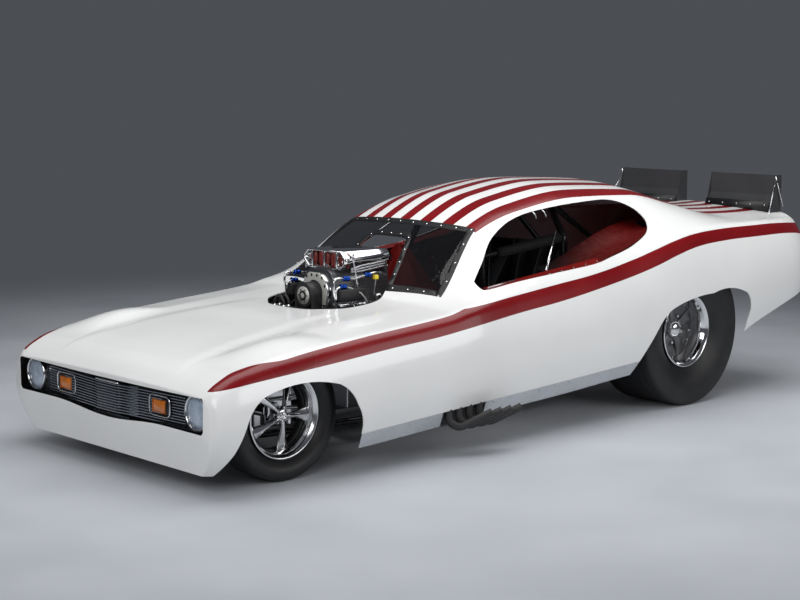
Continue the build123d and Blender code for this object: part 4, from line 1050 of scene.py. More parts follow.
def screen_line(grow=0.0):
    """Plan outline of the windscreen, from its left foot corner round."""
    return (
        arc3((.720 + grow, .630 + grow), (.810 + grow, 0), (.720 + grow, -.630 - grow), 28)
        + [(.720 + grow, -.630 - grow)]
        + [(.525, -.560 - grow), (.330 - grow, -.490 - grow)]
        + arc3((.330 - grow, .490 + grow), (.383 - grow, 0), (.330 - grow, -.490 - grow), 24)[::-1]
        + [(.525, .560 + grow)]
    )


ENGINE_HOLE = (
    (.500, .0), (.500, .115), (.520, .150), (.600, .190), (.790, .285), (.910, .338), (1.030, .330), (1.110, .296),
    (1.180, .215), (1.226, .140), (1.238, .0),
)


def engine_line():
    """Plan outline of the hole round the engine."""
    half = [(p.x, p.y) for p in spline([(x, y, 0) for x, y in ENGINE_HOLE], 4)]
    return half + [(x, -y) for x, y in half[-2:0:-1]]


def grille_line():
    """Front outline of the grille opening."""
    top = [(y, .466 - .010 * (1 - (y / .79) ** 2)) for y in np.linspace(-.772, .772, 21)]
    foot = [(y, .297 - .0145 * (1 + math.cos(math.pi * min(abs(y) / .47, 1)))) for y in np.linspace(.768, -.768, 33)]
    return top + [(.785, .453), (.782, .312)] + foot + [(-.782, .312), (-.785, .453)]


ROCKER_TOP = ((1.526, .202), (-.566, .318))
PIPE_GAP = (0.640, 0.947)


class BuildBody(bpy.types.Operator):
    """The white body with its openings, its red inside darkened by painted shade, and its stripes"""

    bl_idname = "dragcar.body"
    bl_label = "Body Shell"

    def execute(self, context):
        car = context.scene.drag_car
        step = car.skin_step
        skin_surface(step)
        shell = linked("painted_body", SKIN["mesh"].copy())
        shell.data.materials.append(FINISH["paint"])
        wall = shell.modifiers.new("Wall", "SOLIDIFY")
        wall.thickness = car.wall
        wall.offset = -1
        wall.material_offset = 1
        wall.material_offset_rim = 0
        # The inner wall is red with painted shade: black above the windows and towards the front.
        shell.data.materials.append(FINISH["inner"])
        bake(shell)
        (x0, z0), (x1, z1) = ROCKER_TOP
        tools = [
            cutter(front_arch_line(), *ACROSS),
            cutter(rear_arch_line(), *ACROSS),
            cutter(window_line(), *ACROSS),
            cutter(screen_line(), "Z", .70, 1.3),
            cutter(engine_line(), "Z", .60, 1.2),
            cutter(grille_line(), "X", 2.15, 2.45),
            cutter([(x0 + .2, .04), (x0 + .2, z0), (x0, z0), (x1, z1), (x1 - .3, z1), (x1 - .3, .04)], *ACROSS),
            cutter([(-.60, .72), (.60, .72), (.60, .93), (-.60, .93)], "X", -2.45, -2.355),
        ]
        carve(shell, tools)
        skin_normals(shell)
        place(shell, "shell", "body_white", ("body_shell",))
        return {"FINISHED"}


def grown(outline, by):
    """A plan outline moved outward, or inward where by is below 0."""
    n = len(outline)
    area = sum(outline[i][0] * outline[(i + 1) % n][1] - outline[(i + 1) % n][0] * outline[i][1] for i in range(n))
    turn = by if area > 0 else -by
    out = []
    for i, (x, y) in enumerate(outline):
        ax, ay = outline[i - 1]
        bx, by_ = outline[(i + 1) % n]
        dx, dy = bx - ax, by_ - ay
        size = math.hypot(dx, dy) or 1
        out.append((x + dy / size * turn, y - dx / size * turn))
    return out


def along(outline, pitch):
    """Points evenly spaced round a closed outline."""
    pts = [Vector(p) for p in outline]
    pts.append(pts[0])
    lengths = [0]
    for a, b in zip(pts, pts[1:]):
        lengths.append(lengths[-1] + (b - a).length)
    count = max(int(lengths[-1] / pitch), 1)
    out = []
    for i in range(count):
        want = lengths[-1] * i / count
        k = next(j for j in range(len(lengths) - 1) if lengths[j + 1] >= want)
        share = (want - lengths[k]) / max(lengths[k + 1] - lengths[k], 1e-9)
        out.append(tuple(pts[k].lerp(pts[k + 1], share)))
    return out


def heads(name, spots, radius, material, body, rise=0.5, slot=None):
    """Screw or rivet heads at (place, direction) pairs."""
    made = repeated(name, "domes", material, [s[0] for s in spots], [s[1] for s in spots], radius=radius, rise=rise)
    return place(crease(made, 40), body, slot)


class FitWindscreen(bpy.types.Operator):
    """The clear windscreen, its black border and the screws round it"""

    bl_idname = "dragcar.windscreen"
    bl_label = "Windscreen"

    def execute(self, context):
        low, high = (.15, -.75, .70), (.90, .75, 1.30)
        screen = skin_part("windscreen_sheet", low, high, .004, -1, "screen")
        carve(screen, [cutter(grown(screen_line(), -.0005), "Z", .6, 1.3)], "INTERSECT")
        carve(screen, [cutter(engine_line(), "Z", .6, 1.3)])
        place(screen, "shell", "clear_screen", ("windscreen",))
        rim = skin_part("screen_rim", low, high, .0014, 1, "border")
        carve(rim, [cutter(screen_line(), "Z", .6, 1.3)], "INTERSECT")
        carve(rim, [cutter(grown(screen_line(), -.036), "Z", .6, 1.3), cutter(engine_line(), "Z", .55, 1.35)])
        lip = skin_part("hole_rim", low, high, .0014, 1, "border")
        carve(lip, [cutter(grown(engine_line(), .030), "Z", .6, 1.3)], "INTERSECT")
        carve(lip, [cutter(engine_line(), "Z", .55, 1.35)])
        carve(lip, [cutter(grown(screen_line(), -.004), "Z", .6, 1.3)], "INTERSECT")
        place(join("screen_border", [rim, lip]), "shell", "tail_black")
        hole = engine_line()
        spots = []
        for x, y in along(grown(screen_line(), -.018), .098):
            inside = x > .5 and abs(y) < np.interp(x, [.5, .79, .9], [.15, .285, .34]) + .02
            if not inside:
                spots.append(on_skin(x, y))
        for x, y in along(grown(hole, .015), .075):
            if x < .76:
                spots.append(on_skin(x, y))
        spots = [(spot + normal * .0012, normal) for spot, normal in spots if spot]
        heads("screen_screws", spots, .0055, "chrome", "shell", slot="plain_steel")
        return {"FINISHED"}


class FitRockers(bpy.types.Operator):
    """Riveted sheet strips low between the wheel arches"""

    bl_idname = "dragcar.rockers"
    bl_label = "Rocker Strips"

    def execute(self, context):
        (x0, z0), (x1, z1) = ROCKER_TOP
        strip = skin_part("rocker_strips", (-.66, -1, .10), (1.56, 1, .345), .002, -1, "sheet")
        band = [(x0 + .2, .04), (x0 + .2, z0 - .0006), (x0, z0 - .0006), (x1, z1 - .0006),
                (x1 - .3, z1), (x1 - .3, .04)]
        carve(strip, [cutter(band, *ACROSS)], "INTERSECT")
        carve(strip, [
            cutter(front_arch_line(), *ACROSS), cutter(rear_arch_line(), *ACROSS),
            cutter([(PIPE_GAP[0], .04), (PIPE_GAP[0], .3), (PIPE_GAP[1], .3), (PIPE_GAP[1], .04)], *ACROSS),
        ])
        skin_normals(strip)
        place(strip, "shell", "bare_sheet", ("rocker_panels",))
        spots = []
        for side in (1, -1):
            for low in (True, False):
                for x in np.arange(-.48, 1.42, .118):
                    x = x + (0.05 if low else 0)
                    if PIPE_GAP[0] - .02 < x < PIPE_GAP[1] + .02:
                        continue
                    top = z0 + (z1 - z0) * (x0 - x) / (x0 - x1)
                    z = top - (.070 if low else .014)
                    spots.append(on_side(x, z, side))
        spots = [(spot + normal * .0002, normal) for spot, normal in spots if spot]
        heads("rocker_rivets", spots, .0045, "steel", "shell", rise=.4, slot="plain_steel")
        return {"FINISHED"}


class FitNose(bpy.types.Operator):
    """Grille with its bars and centre box, headlamps and parking lamps"""

    bl_idname = "dragcar.nose"
    bl_label = "Grille and Lamps"

    def execute(self, context):
        back = slab("grille_back", (2.294, -.782, .264), (2.300, .782, .470), "grille", .001)
        pieces = [back]
        for side in (1, -1):
            low, high = (.590, .782) if side > 0 else (-.782, -.590)
            pieces.append(slab("bezel", (2.298, low, .293), (2.306, high, .455), "grille", .003))
            edge = [(2.300, side * .20, .292), (2.345, side * .09, .292), (2.345, side * .09, .438),
                    (2.300, side * .20, .438)]
            pieces.append(plate("box_side", edge, (0, -side, 0), .003, "grille"))
        pieces.append(slab("box_face", (2.340, -.092, .294), (2.347, .092, .436), "grille", .002))
        bars = []
        for side in (1, -1):
            angle = -side * math.atan2(.040, .480)
            bars.append(repeated(
                "bars", "bars", "bars", count=11, start=(2.3245, side * .338, .302), step=(0, 0, .0131),
                size=(.008, .490, .0038), turn=(0, 0, -angle)))
        bars.append(repeated(
            "bars", "bars", "bars", count=11, start=(2.3475, 0, .300), step=(0, 0, .0131), size=(.004, .176, .0038)))
        for side in (1, -1):
            bars.append(repeated(
                "bars", "bars", "bars", count=11, start=(2.3245, side * .146, .300), step=(0, 0, .0131),
                size=(.006, .118, .0038), turn=(0, 0, side * math.atan2(.045, .108))))
        edge = pipe("edge", [(2.344, .098, .4405), (2.350, .084, .4415), (2.350, -.084, .4415), (2.344, -.098, .4405)],
                    .005, "chrome", smooth=False, sides=8)
        bars.append(edge)
        for z in (.270, .279):
            bars.append(slab("line", (2.322, -.150, z - .0018), (2.330, .150, z + .0018), "bars", .001))
        bars.append(slab("line", (2.300, -.740, .2925), (2.318, .740, .2955), "bars", .001))
        rings, lenses, amber = [], [], []
        for side in (1, -1):
            base = (2.301, side * .684, .383)
            rings.append(turned("ring", [
                (.002, .060), (.003, .0725), (.008, .0745), (.020, .0735), (.026, .0755), (.029, .0790), (.027, .0830),
                (.020, .0850), (.004, .0860), (0, .0860), (0, .060)], base, (1, 0, 0), "chrome", 64))
            lenses.append(turned("lens", [(.030, 0), (.0296, .020), (.028, .040), (.0245, .058),
                                          (.018, .0738), (.006, .0738)],
                                 base, (1, 0, 0), "lens", 48))
            for k in range(4):
                a = math.pi / 4 + k * math.pi / 2
                rings.append(turned("screw", [(.001, .0001), (.008, .004), (.010, .003), (.0105, .0001)],
                                    (2.304, base[1] + .093 * math.cos(a) * .85, base[2] + .078 * math.sin(a)),
                                    (1, 0, 0), "chrome", 10))
            pieces.append(slab("lamp_case", (2.300, side * .399 - .076, .333),
                               (2.322, side * .399 + .076, .415), "grille", .008))
            amber.append(cushion("lens", (2.316, side * .399 - .052, .340),
                                 (2.336, side * .399 + .052, .406), "amber", .010, .004,
                                 (), 0, 1, 10))
            outline = []
            for cy, cz, start in ((1, 1, 0), (-1, 1, 90), (-1, -1, 180), (1, -1, 270)):
                for a in np.linspace(start, start + 90, 7):
                    t = math.radians(a)
                    outline.append((2.322, side * .399 + cy * .054 + .027 * math.cos(t),
                                    .374 + cz * .021 + .027 * math.sin(t)))
            rings.append(pipe("trim", outline, .0045, "chrome", closed=True, smooth=False, sides=8))
        for name, group, slot, replaced in (
            ("grille_back", pieces, "grille_black", ("grille",)), ("grille_bars", bars, "polished_metal", ()),
            ("lamp_rings", rings, "polished_metal", ()), ("headlamp_lenses", lenses, "lamp_glass", ("headlamps",)),
            ("parking_lenses", amber, "amber_lens", ("parking_lamps",)),
        ):
            piece = join(name, group)
            piece.data.transform(Matrix.Translation((-.012, 0, 0)))
            place(piece, "shell", slot, replaced)
        latch = slab("chin_latch", (2.302, -.015, .160), (2.318, .015, .200), "steel", .004)
        place(latch, "shell", "plain_steel")
        return {"FINISHED"}


class FitTail(bpy.types.Operator):
    """Spoiler strips and wires, tail panel trim and lamps"""

    bl_idname = "dragcar.tail"
    bl_label = "Tail and Spoilers"

    def execute(self, context):
        spots, strips, wires = [], [], []
        for side in (1, -1):
            outline = [(-2.2105, side * .125, 1.075), (-2.2105, side * .612, 1.075), (-2.2335, side * .612, 1.131),
                       (-2.2335, side * .125, 1.131)]
            way = Vector((.101, 0, .0415)).normalized()
            strips.append(plate("strip", [Vector(p) + way * .009 for p in outline], way, .002, "border"))
            for k in range(5):
                y = side * (.155 + .107 * k)
                spots.append((Vector((-2.2225, y, 1.105)) + way * .0125, way))
            wires.append(pipe("wire", [(-2.335, side * .640, 1.10), (-2.270, side * .622, 1.292)], .003,
                              "chrome", smooth=False))
            wires.append(pipe("wire", [(-2.150, side * .660, 1.06), (-2.262, side * .622, 1.240)], .003,
                              "chrome", smooth=False))
        place(join("spoiler_strips", strips), "shell", "spoiler_grey")
        heads("spoiler_rivets", spots, .0055, "steel", "shell", slot="plain_steel")
        place(join("spoiler_wires", wires), "shell", "plain_steel")
        trims = []
        for side in (1, -1):
            low, high = sorted((side * .23, side * .56))
            edge = [(-2.3665, low, .770), (-2.3665, high, .770), (-2.3665, high, .880), (-2.3665, low, .880)]
            trims.append(pipe("trim", edge, .0035, "chrome", closed=True, smooth=False, sides=8))
        place(join("tail_lamp_trims", trims), "shell", "polished_metal")
        return {"FINISHED"}


def tyre(name, inner, outer, rim_in, rim_out, radius, lip, bead, axle, side, material, ribs):
    """A tyre with rounded shoulders, bulging walls, a bead and fine grooves round the tread."""
    foot_in, foot_out = rim_in + .0135, rim_out - .0135

    def wall(foot, face, way):
        pts = [(foot, bead + .001), (foot, lip + .002), (foot + way * .004, lip + .008)]
        for t in np.linspace(0.1, 1, 9):
            z = lip + .008 + (radius - .026 - lip - .008) * t
            bulge = math.sin(math.pi * min(t * .60 + .02, .5))
            pts.append((foot + way * .004 + (face - foot - way * .004) * bulge, z))
        for a in np.linspace(10, 80, 6):
            pts.append((face - way * .022 + way * .022 * math.cos(math.radians(a)),
                        radius - .024 + .0225 * math.sin(math.radians(a))))
        return pts
    right = wall(foot_out, outer, 1)
    left = wall(foot_in, inner, -1)
    tread = []
    span = (outer - .026) - (inner + .026)
    for k in range(ribs):
        c = outer - .026 - span * (k + .5) / ribs
        crown = .0014 * (1 - ((c - (inner + outer) / 2) / (span / 2)) ** 2)
        tread += [(c + .0028, radius - .0016 + crown), (c + .0018, radius - .0056), (c - .0018, radius - .0056),
                  (c - .0028, radius - .0016 + crown)]
    return lathe(name, right + tread + left[::-1], axle, side, material, 160, sharp=40)


def rim(name, inner, outer, lip, bead, axle, side, material):
    """A turned rim with a stepped double lip and a rolled edge."""
    profile = [
        (inner, lip - .006), (inner + .002, lip), (inner + .006, lip), (inner + .010, lip - .004), (inner + .013, bead),
        (outer - .012, bead), (outer - .010, lip - .004), (outer - .006, lip), (outer - .002, lip), (outer, lip - .004),
        (outer - .001, lip - .009), (outer - .006, lip - .012), (outer - .010, lip - .020), (outer - .015, lip - .0225),
        (outer - .017, lip - .0245), (outer - .030, lip - .026), (outer - .034, lip - .030), (outer - .055, lip - .033),
        (inner + .020, lip - .032), (inner + .012, bead - .010), (inner + .002, lip - .014),
    ]
    return lathe(name, profile, axle, side, material, 128, sharp=28)


def spoke_ring(name, count, rows, axle, side, material, start=90, flat=.30):
    """Spokes from cross-sections (radius, half width, face y, back y, ridge height) running outward."""
    made = []
    for k in range(count):
        a = math.radians(start + 360 * k / count)
        out = Vector((math.cos(a), 0, math.sin(a)))
        tangent = Vector((-math.sin(a), 0, math.cos(a)))
        verts = []
        for radius, half, face, backing, ridge in rows:
            centre = Vector((axle[0], 0, axle[1])) + out * radius
            for w, y in ((-1, backing), (-1, face - .004), (-.82, face), (-flat, face + ridge), (flat, face + ridge),
                         (.82, face), (1, face - .004), (1, backing)):
                verts.append(centre + tangent * w * half + Vector((0, side * y, 0)))
        faces = strips(len(rows), 8, loop=False, turn=True) + end_caps(len(rows), 8)
        made.append(crease(solid_mesh(new_piece(name, verts, faces, material)), 38))
    return join(name, made)


def round_axle(axle, radius, degrees, y):
    """A place at a radius and an angle round a wheel's axle."""
    a = math.radians(degrees)
    return axle[0] + radius * math.cos(a), y, axle[1] + radius * math.sin(a)


class BuildFrontWheels(bpy.types.Operator):
    """Five-spoke front wheels and narrow front tyres"""

    bl_idname = "dragcar.front_wheels"
    bl_label = "Front Wheels"

    def execute(self, context):
        for side, hand in ((1, "left"), (-1, "right")):
            body = f"front_wheel_{hand}"
            barrel = rim("front_rim", .580, .719, .2085, .192, FRONT_AXLE, side, "polished")
            rows = [
                (.022, .0075, .700, .684, .003), (.040, .0085, .698, .682, .005), (.070, .0120, .691, .676, .007),
                (.100, .0170, .682, .668, .009), (.130, .0235, .672, .658, .011), (.155, .0300, .664, .650, .011),
                (.173, .0350, .660, .646, .008), (.184, .0390, .661, .643, .002),
            ]
            spokes = spoke_ring("spokes", 5, rows, FRONT_AXLE, side, "polished", 115, .05)
            # Painted shade: a black ring deep in the rim's barrel, behind the spokes, stands in for the shade inside
            # the wheel.
            painted_shade_liner = lathe("painted_shade_liner", [(.604, .172), (.657, .1725), (.657, .1705), (.604, .1700)],
                          FRONT_AXLE, side, "hose", 96)
            centre = (FRONT_AXLE[0], side * .664, FRONT_AXLE[1])
            hub = turned("hub", [
                (0, .017), (0, .034), (.006, .035), (.018, .033), (.024, .031), (.030, .0300),
                (.036, .028), (.0385, .024),
                (.0390, .0001)], centre, (0, side, 0), "polished", 48)
            cap = turned("cap", [(.036, .020), (.046, .019), (.050, .015), (.0505, .009), (.047, .007), (.047, .0001)],
                         centre, (0, side, 0), "chrome", 36)
            nuts = [
                turned("nut", [(-.004, .0062), (.006, .0062), (.008, .0045), (.008, .0001)],
                       round_axle(FRONT_AXLE, .0405, 151 + 72 * k, side * .681), (0, side, 0), "steel", 6, 20)
                for k in range(5)
            ]
            place(join(f"front_rim_{hand}", [barrel, painted_shade_liner, spokes, hub, cap] + nuts), body, "polished_metal",
                  (f"front_wheel_{hand}",))
            rubber = tyre("tyre", .550, .740, .580, .719, .310, .2085, .192, FRONT_AXLE, side, "front_rubber", 7)
            rubber.name = f"front_rubber_{hand}"
            place(rubber, body, "tyre_black", (f"front_tyre_{hand}",))
            valve = pipe("valve", [(FRONT_AXLE[0] + .155, side * .690, FRONT_AXLE[1] + .095),
                                   (FRONT_AXLE[0] + .142, side * .708, FRONT_AXLE[1] + .088)],
                         .0038, "wire", smooth=False, sides=8)
            valve.name = f"valve_stem_{hand}"
            place(valve, body, "tyre_black")
        return {"FINISHED"}


class BuildRearWheels(bpy.types.Operator):
    """Deep-dish rear wheels, wide tyres and bolts"""

    bl_idname = "dragcar.rear_wheels"
    bl_label = "Rear Wheels"

    def execute(self, context):
        for side, hand in ((1, "left"), (-1, "right")):
            barrel = rim("rear_rim", .520, .818, .216, .203, REAR_AXLE, side, "chrome")
            rows = [
                (.040, .030, .716, .692, .002), (.075, .027, .714, .692, .005), (.110, .029, .708, .690, .008),
                (.145, .037, .702, .688, .008), (.172, .048, .700, .686, .005), (.184, .056, .702, .684, .002),
            ]
            spokes = spoke_ring("spokes", 5, rows, REAR_AXLE, side, "cast")
            centre = (REAR_AXLE[0], side * .690, REAR_AXLE[1])
            web = turned("web", [(0, .052), (0, .186), (.006, .186), (.006, .172), (.003, .160), (.003, .085),
                                 (.016, .075), (.020, .052)],
                         centre, (0, side, 0), "cast", 72)
            dome = turned("dome", [
                (.010, .030), (.014, .052), (.022, .053), (.040, .050), (.050, .044), (.058, .034),
                (.062, .022), (.0640, .010),
                (.0642, .0001)], centre, (0, side, 0), "polished", 56)
            nuts = [
                turned("nut", [(-.004, .011), (.010, .011), (.015, .008), (.015, .0001)],
                       round_axle(REAR_AXLE, .084, 126 + 72 * k, side * .700), (0, side, 0), "steel", 6, 20)
                for k in range(5)
            ]
            place(join(f"rear_rim_{hand}", [barrel, spokes, web, dome] + nuts), "rear_axle", "polished_metal",
                  (f"rear_wheel_{hand}",))
            spots = [(round_axle(REAR_AXLE, .1785, 9 + 18 * k, side * .6968), (0, side, 0)) for k in range(20)]
            heads(f"rear_rim_bolts_{hand}", spots, .0052, "steel", "rear_axle", slot="plain_steel")
            rubber = tyre("tyre", .480, .860, .520, .818, .437, .216, .203, REAR_AXLE, side, "rear_rubber", 6)
            rubber.name = f"rear_rubber_{hand}"
            place(rubber, "rear_axle", "tyre_black", (f"rear_tyre_{hand}",))
        return {"FINISHED"}


class BuildBlower(bpy.types.Operator):
    """Supercharger case with fins, its front cover, drive belt and pulleys"""

    bl_idname = "dragcar.blower"
    bl_label = "Supercharger and Drive"

    def execute(self, context):
        case = []
        outline = [(-.115, .702), (-.135, .700), (-.135, .662), (-.090, .658), (-.090, .640), (.090, .640),
                   (.090, .658), (.135, .662), (.135, .700), (.115, .702), (.115, .825)]
        outline += [(.055 + .060 * math.cos(a), .825 + .058 * math.sin(a)) for a in np.linspace(.1, math.pi / 2, 7)]
        outline += [(-.055 - .060 * math.cos(a),
                     .825 + .058 * math.sin(a)) for a in np.linspace(math.pi / 2, .1, 7)] + [(-.115, .825)]
        case.append(plate("case", [(.610, y, z) for y, z in outline], (1, 0, 0), .398, "case", .002))
        fins = []
        for side in (1, -1):
            fins.append(repeated("fins", "bars", "case", count=9, start=(.810, side * .1165, .712),
                                 step=(0, 0, .0135), size=(.372, .008, .0036)))
        case.append(turned("cover", [(0, .106), (.020, .105), (.026, .098), (.028, .090), (.028, .072), (.033, .066),
                                     (.033, .036), (.036, .034), (.036, .0001)],
                           (1.006, 0, .760), (1, 0, 0), "polished", 72))
        case.append(turned("rear_cover", [(0, .104), (.012, .100), (.014, .085), (.014, .0001)], (.612, 0, .775),
                           (-1, 0, 0), "polished", 56))
        place(join("blower_case", case + fins), "chassis", "polished_metal", ("blower",))
        spots = []
        for k in range(14):
            a = 2 * math.pi * k / 14
            spots.append(((1.0335, .094 * math.cos(a), .760 + .094 * math.sin(a)), (1, 0, 0)))
        for side in (1, -1):
            for x in np.arange(.640, 1.0, .056):
                spots.append(((x, side * .127, .7005), (0, 0, 1)))
        heads("blower_bolts", spots, .0058, "steel", "chassis", rise=.7, slot="plain_steel")
        drive = []
        loop = []
        for z, r, start in ((.750, .0655, 0), (.330, .0595, 180)):
            for a in np.linspace(start, start + 180, 25):
                t = math.radians(a)
                loop.append((r * math.cos(t), z + r * math.sin(t)))
        verts = []
        for y, z in loop:
            way = Vector((y, z - (.750 if z > .54 else .330))).normalized()
            for x, r in ((1.044, 0), (1.115, 0), (1.115, .0028), (1.044, .0028)):
                verts.append((x, y + way.x * r, z + way.y * r))
        drive.append(crease(solid_mesh(new_piece("belt", verts, strips(len(loop), 4), "belt")), 40))
        for z, r, count in ((.750, .0635, 38), (.330, .0575, 34)):
            drive.append(repeated("teeth", "ring", "belt", count=count, radius=r, size=(.0042, .0052, .074),
                                  centre=(1.0795, 0, z), turn=(0, math.pi / 2, 0)))
            drive.append(turned("pulley", [
                (0, .0001), (0, r - .002), (.003, r + .006), (.006, r + .006), (.007, r - .002), (.066, r - .002),
                (.067, r + .006), (.070, r + .006), (.073, r - .002), (.073, r * .80), (.068, r * .74), (.064, r * .60),
                (.064, .030), (.076, .027), (.078, .020), (.078, .0001)], (1.043, 0, z), (1, 0, 0), "black_satin", 72))
            drive.append(turned("face", [(.0655, r * .76), (.0740, r * .74), (.0750, r * .30), (.0790, .013),
                                         (.0795, .0001)], (1.043, 0, z), (1, 0, 0), "pale", 48))
            # Painted shade: flat black discs on the pulley face stand in for the holes through it.
            for k in range(6):
                a = math.pi * k / 3
                drive.append(turned("hole", [(0, .0046), (.0012, .0046), (.0012, .0001)],
                                    (1.1165, .52 * r * math.cos(a), z + .52 * r * math.sin(a)), (1, 0, 0), "hose", 12))
            drive.append(turned("nose", [(0, .032), (.040, .032)], (1.018 if z > .5 else 1.030, 0, z),
                                (1, 0, 0), "polished", 32))
        ring = turned("idler", [(0, .001), (0, .028), (.004, .032), (.060, .032), (.064, .028), (.064, .0001)],
                      (1.046, -.098, .560), (1, 0, 0), "polished", 40)
        drive.append(ring)
        place(join("belt_and_pulleys", drive), "chassis", "belt_rubber", ("belt_drive",))
        guard = []
        outline = [(.090, .700), (.100, .760), (.082, .832), (.040, .866), (-.040, .866), (-.082, .832),
                   (-.100, .760), (-.090, .700)]
        plate_piece = plate("ring_plate", [(1.034, y, z) for y, z in outline], (1, 0, 0), .005, "pale", .001)
        guard.append(plate_piece)
        # Painted shade: flat black discs on the plate stand in for its holes.
        for k, (y, z) in enumerate(((-.062, .842), (-.022, .852), (.022, .852), (.062, .842),
                                    (.084, .800), (-.084, .800))):
            guard.append(turned("hole", [(0, .0075), (.0015, .0075), (.0015, .0001)],
                                (1.0385, y, z), (1, 0, 0), "hose", 14))
        place(join("drive_plate", guard), "chassis", "polished_metal")
        return {"FINISHED"}


class BuildHat(bpy.types.Operator):
    """Injector hat: smooth tapered scoop with four throttle openings"""

    bl_idname = "dragcar.hat"
    bl_label = "Injector Hat"

    def execute(self, context):
        stations = (
            (.610, .146, .890, .962, .020), (.622, .152, .887, .978, .026), (.650, .158, .885, .985, .030),
            (.720, .166, .885, .988, .034),
            (.800, .174, .885, .990, .040), (.900, .176, .880, .991, .044), (.950, .177, .874, .991, .046),
            (.970, .177, .872, .991, .046),
        )
        count = 48

        def section(half, low, high, r):
            r = min(r, (high - low) * .49)
            keep = 1 - .62 * math.sqrt(.5)
            pts = []
            for cy, cz, start in ((1, 1, 0), (-1, 1, 90), (-1, -1, 180), (1, -1, 270)):
                for a in np.linspace(start, start + 90, count // 4):
                    t = math.radians(a)
                    cut = min(1, keep / max(abs(math.cos(t - math.radians(start + 45))), .7))
                    pts.append((cy * (half - r) + r * cut * math.cos(t),
                                (low + high) / 2 + cz * ((high - low) / 2 - r) + r * cut * math.sin(t)))
            return pts
        inner = ((.973, .170, .880, .984, .042), (.964, .166, .884, .980, .040), (.915, .164, .886, .978, .038))
        rows = stations + inner
        verts = [(x, y, z) for x, h, lo, hi, r in rows for y, z in section(h, lo, hi, r)]
        faces = strips(len(rows), count, loop=False, turn=True) + end_caps(len(rows), count)
        hat = [crease(solid_mesh(new_piece("hat", verts, faces, "chrome")), 38)]
        for y, wide in ((-.097, .005), (0, .006), (.097, .005)):
            hat.append(slab("divider", (.925, y - wide, .884), (.9715, y + wide, .981), "chrome", .002))
        place(join("hat_shell", hat), "chassis", "polished_metal", ("injector_hat",))
        plates = []
        for y in (-.132, -.0485, .0485, .132):
            half = .0400 if abs(y) < .1 else .0270
            outline = [(y + half * math.copysign(abs(math.cos(t)) ** .6, math.cos(t)),
                        .932 + .0420 * math.copysign(abs(math.sin(t)) ** .6, math.sin(t)))
                       for t in np.linspace(0, 2 * math.pi, 41)[:-1]]
            one = plate("butterfly", [(.9300, a, b) for a, b in outline], (1, 0, 0), .0028, "red_plate", .0006)
            plates.append(one)
        place(join("butterflies", plates), "chassis", "red_tin")
        link = [
            pipe("link", [(.940, .186, .957), (.935, .196, .930), (.925, .200, .880),
                          (.914, .200, .813)], .0038, "chrome"),
            slab("arm", (.925, .178, .936), (.952, .190, .972), "chrome", .003),
            turned("pivot", [(0, .0075), (.010, .0075), (.012, .0055), (.012, .0001)], (.938, .188, .954),
                   (0, 1, 0), "steel", 20),
            turned("pivot", [(0, .0065), (.010, .0065), (.012, .0045), (.012, .0001)], (.914, .194, .813),
                   (0, 1, 0), "steel", 20),
            pipe("spring", [(.914, .200, .813), (.900, .196, .760), (.892, .170, .712)], .0026, "steel"),
        ]
        place(join("throttle_linkage", link), "chassis", "plain_steel")
        spots = []
        for side in (1, -1):
            for x in np.arange(.68, .98, .06):
                spots.append(((x - .02, side * .160, .8900), (0, side, .2)))
        heads("hat_bolts", spots, .005, "steel", "chassis", slot="plain_steel")
        return {"FINISHED"}


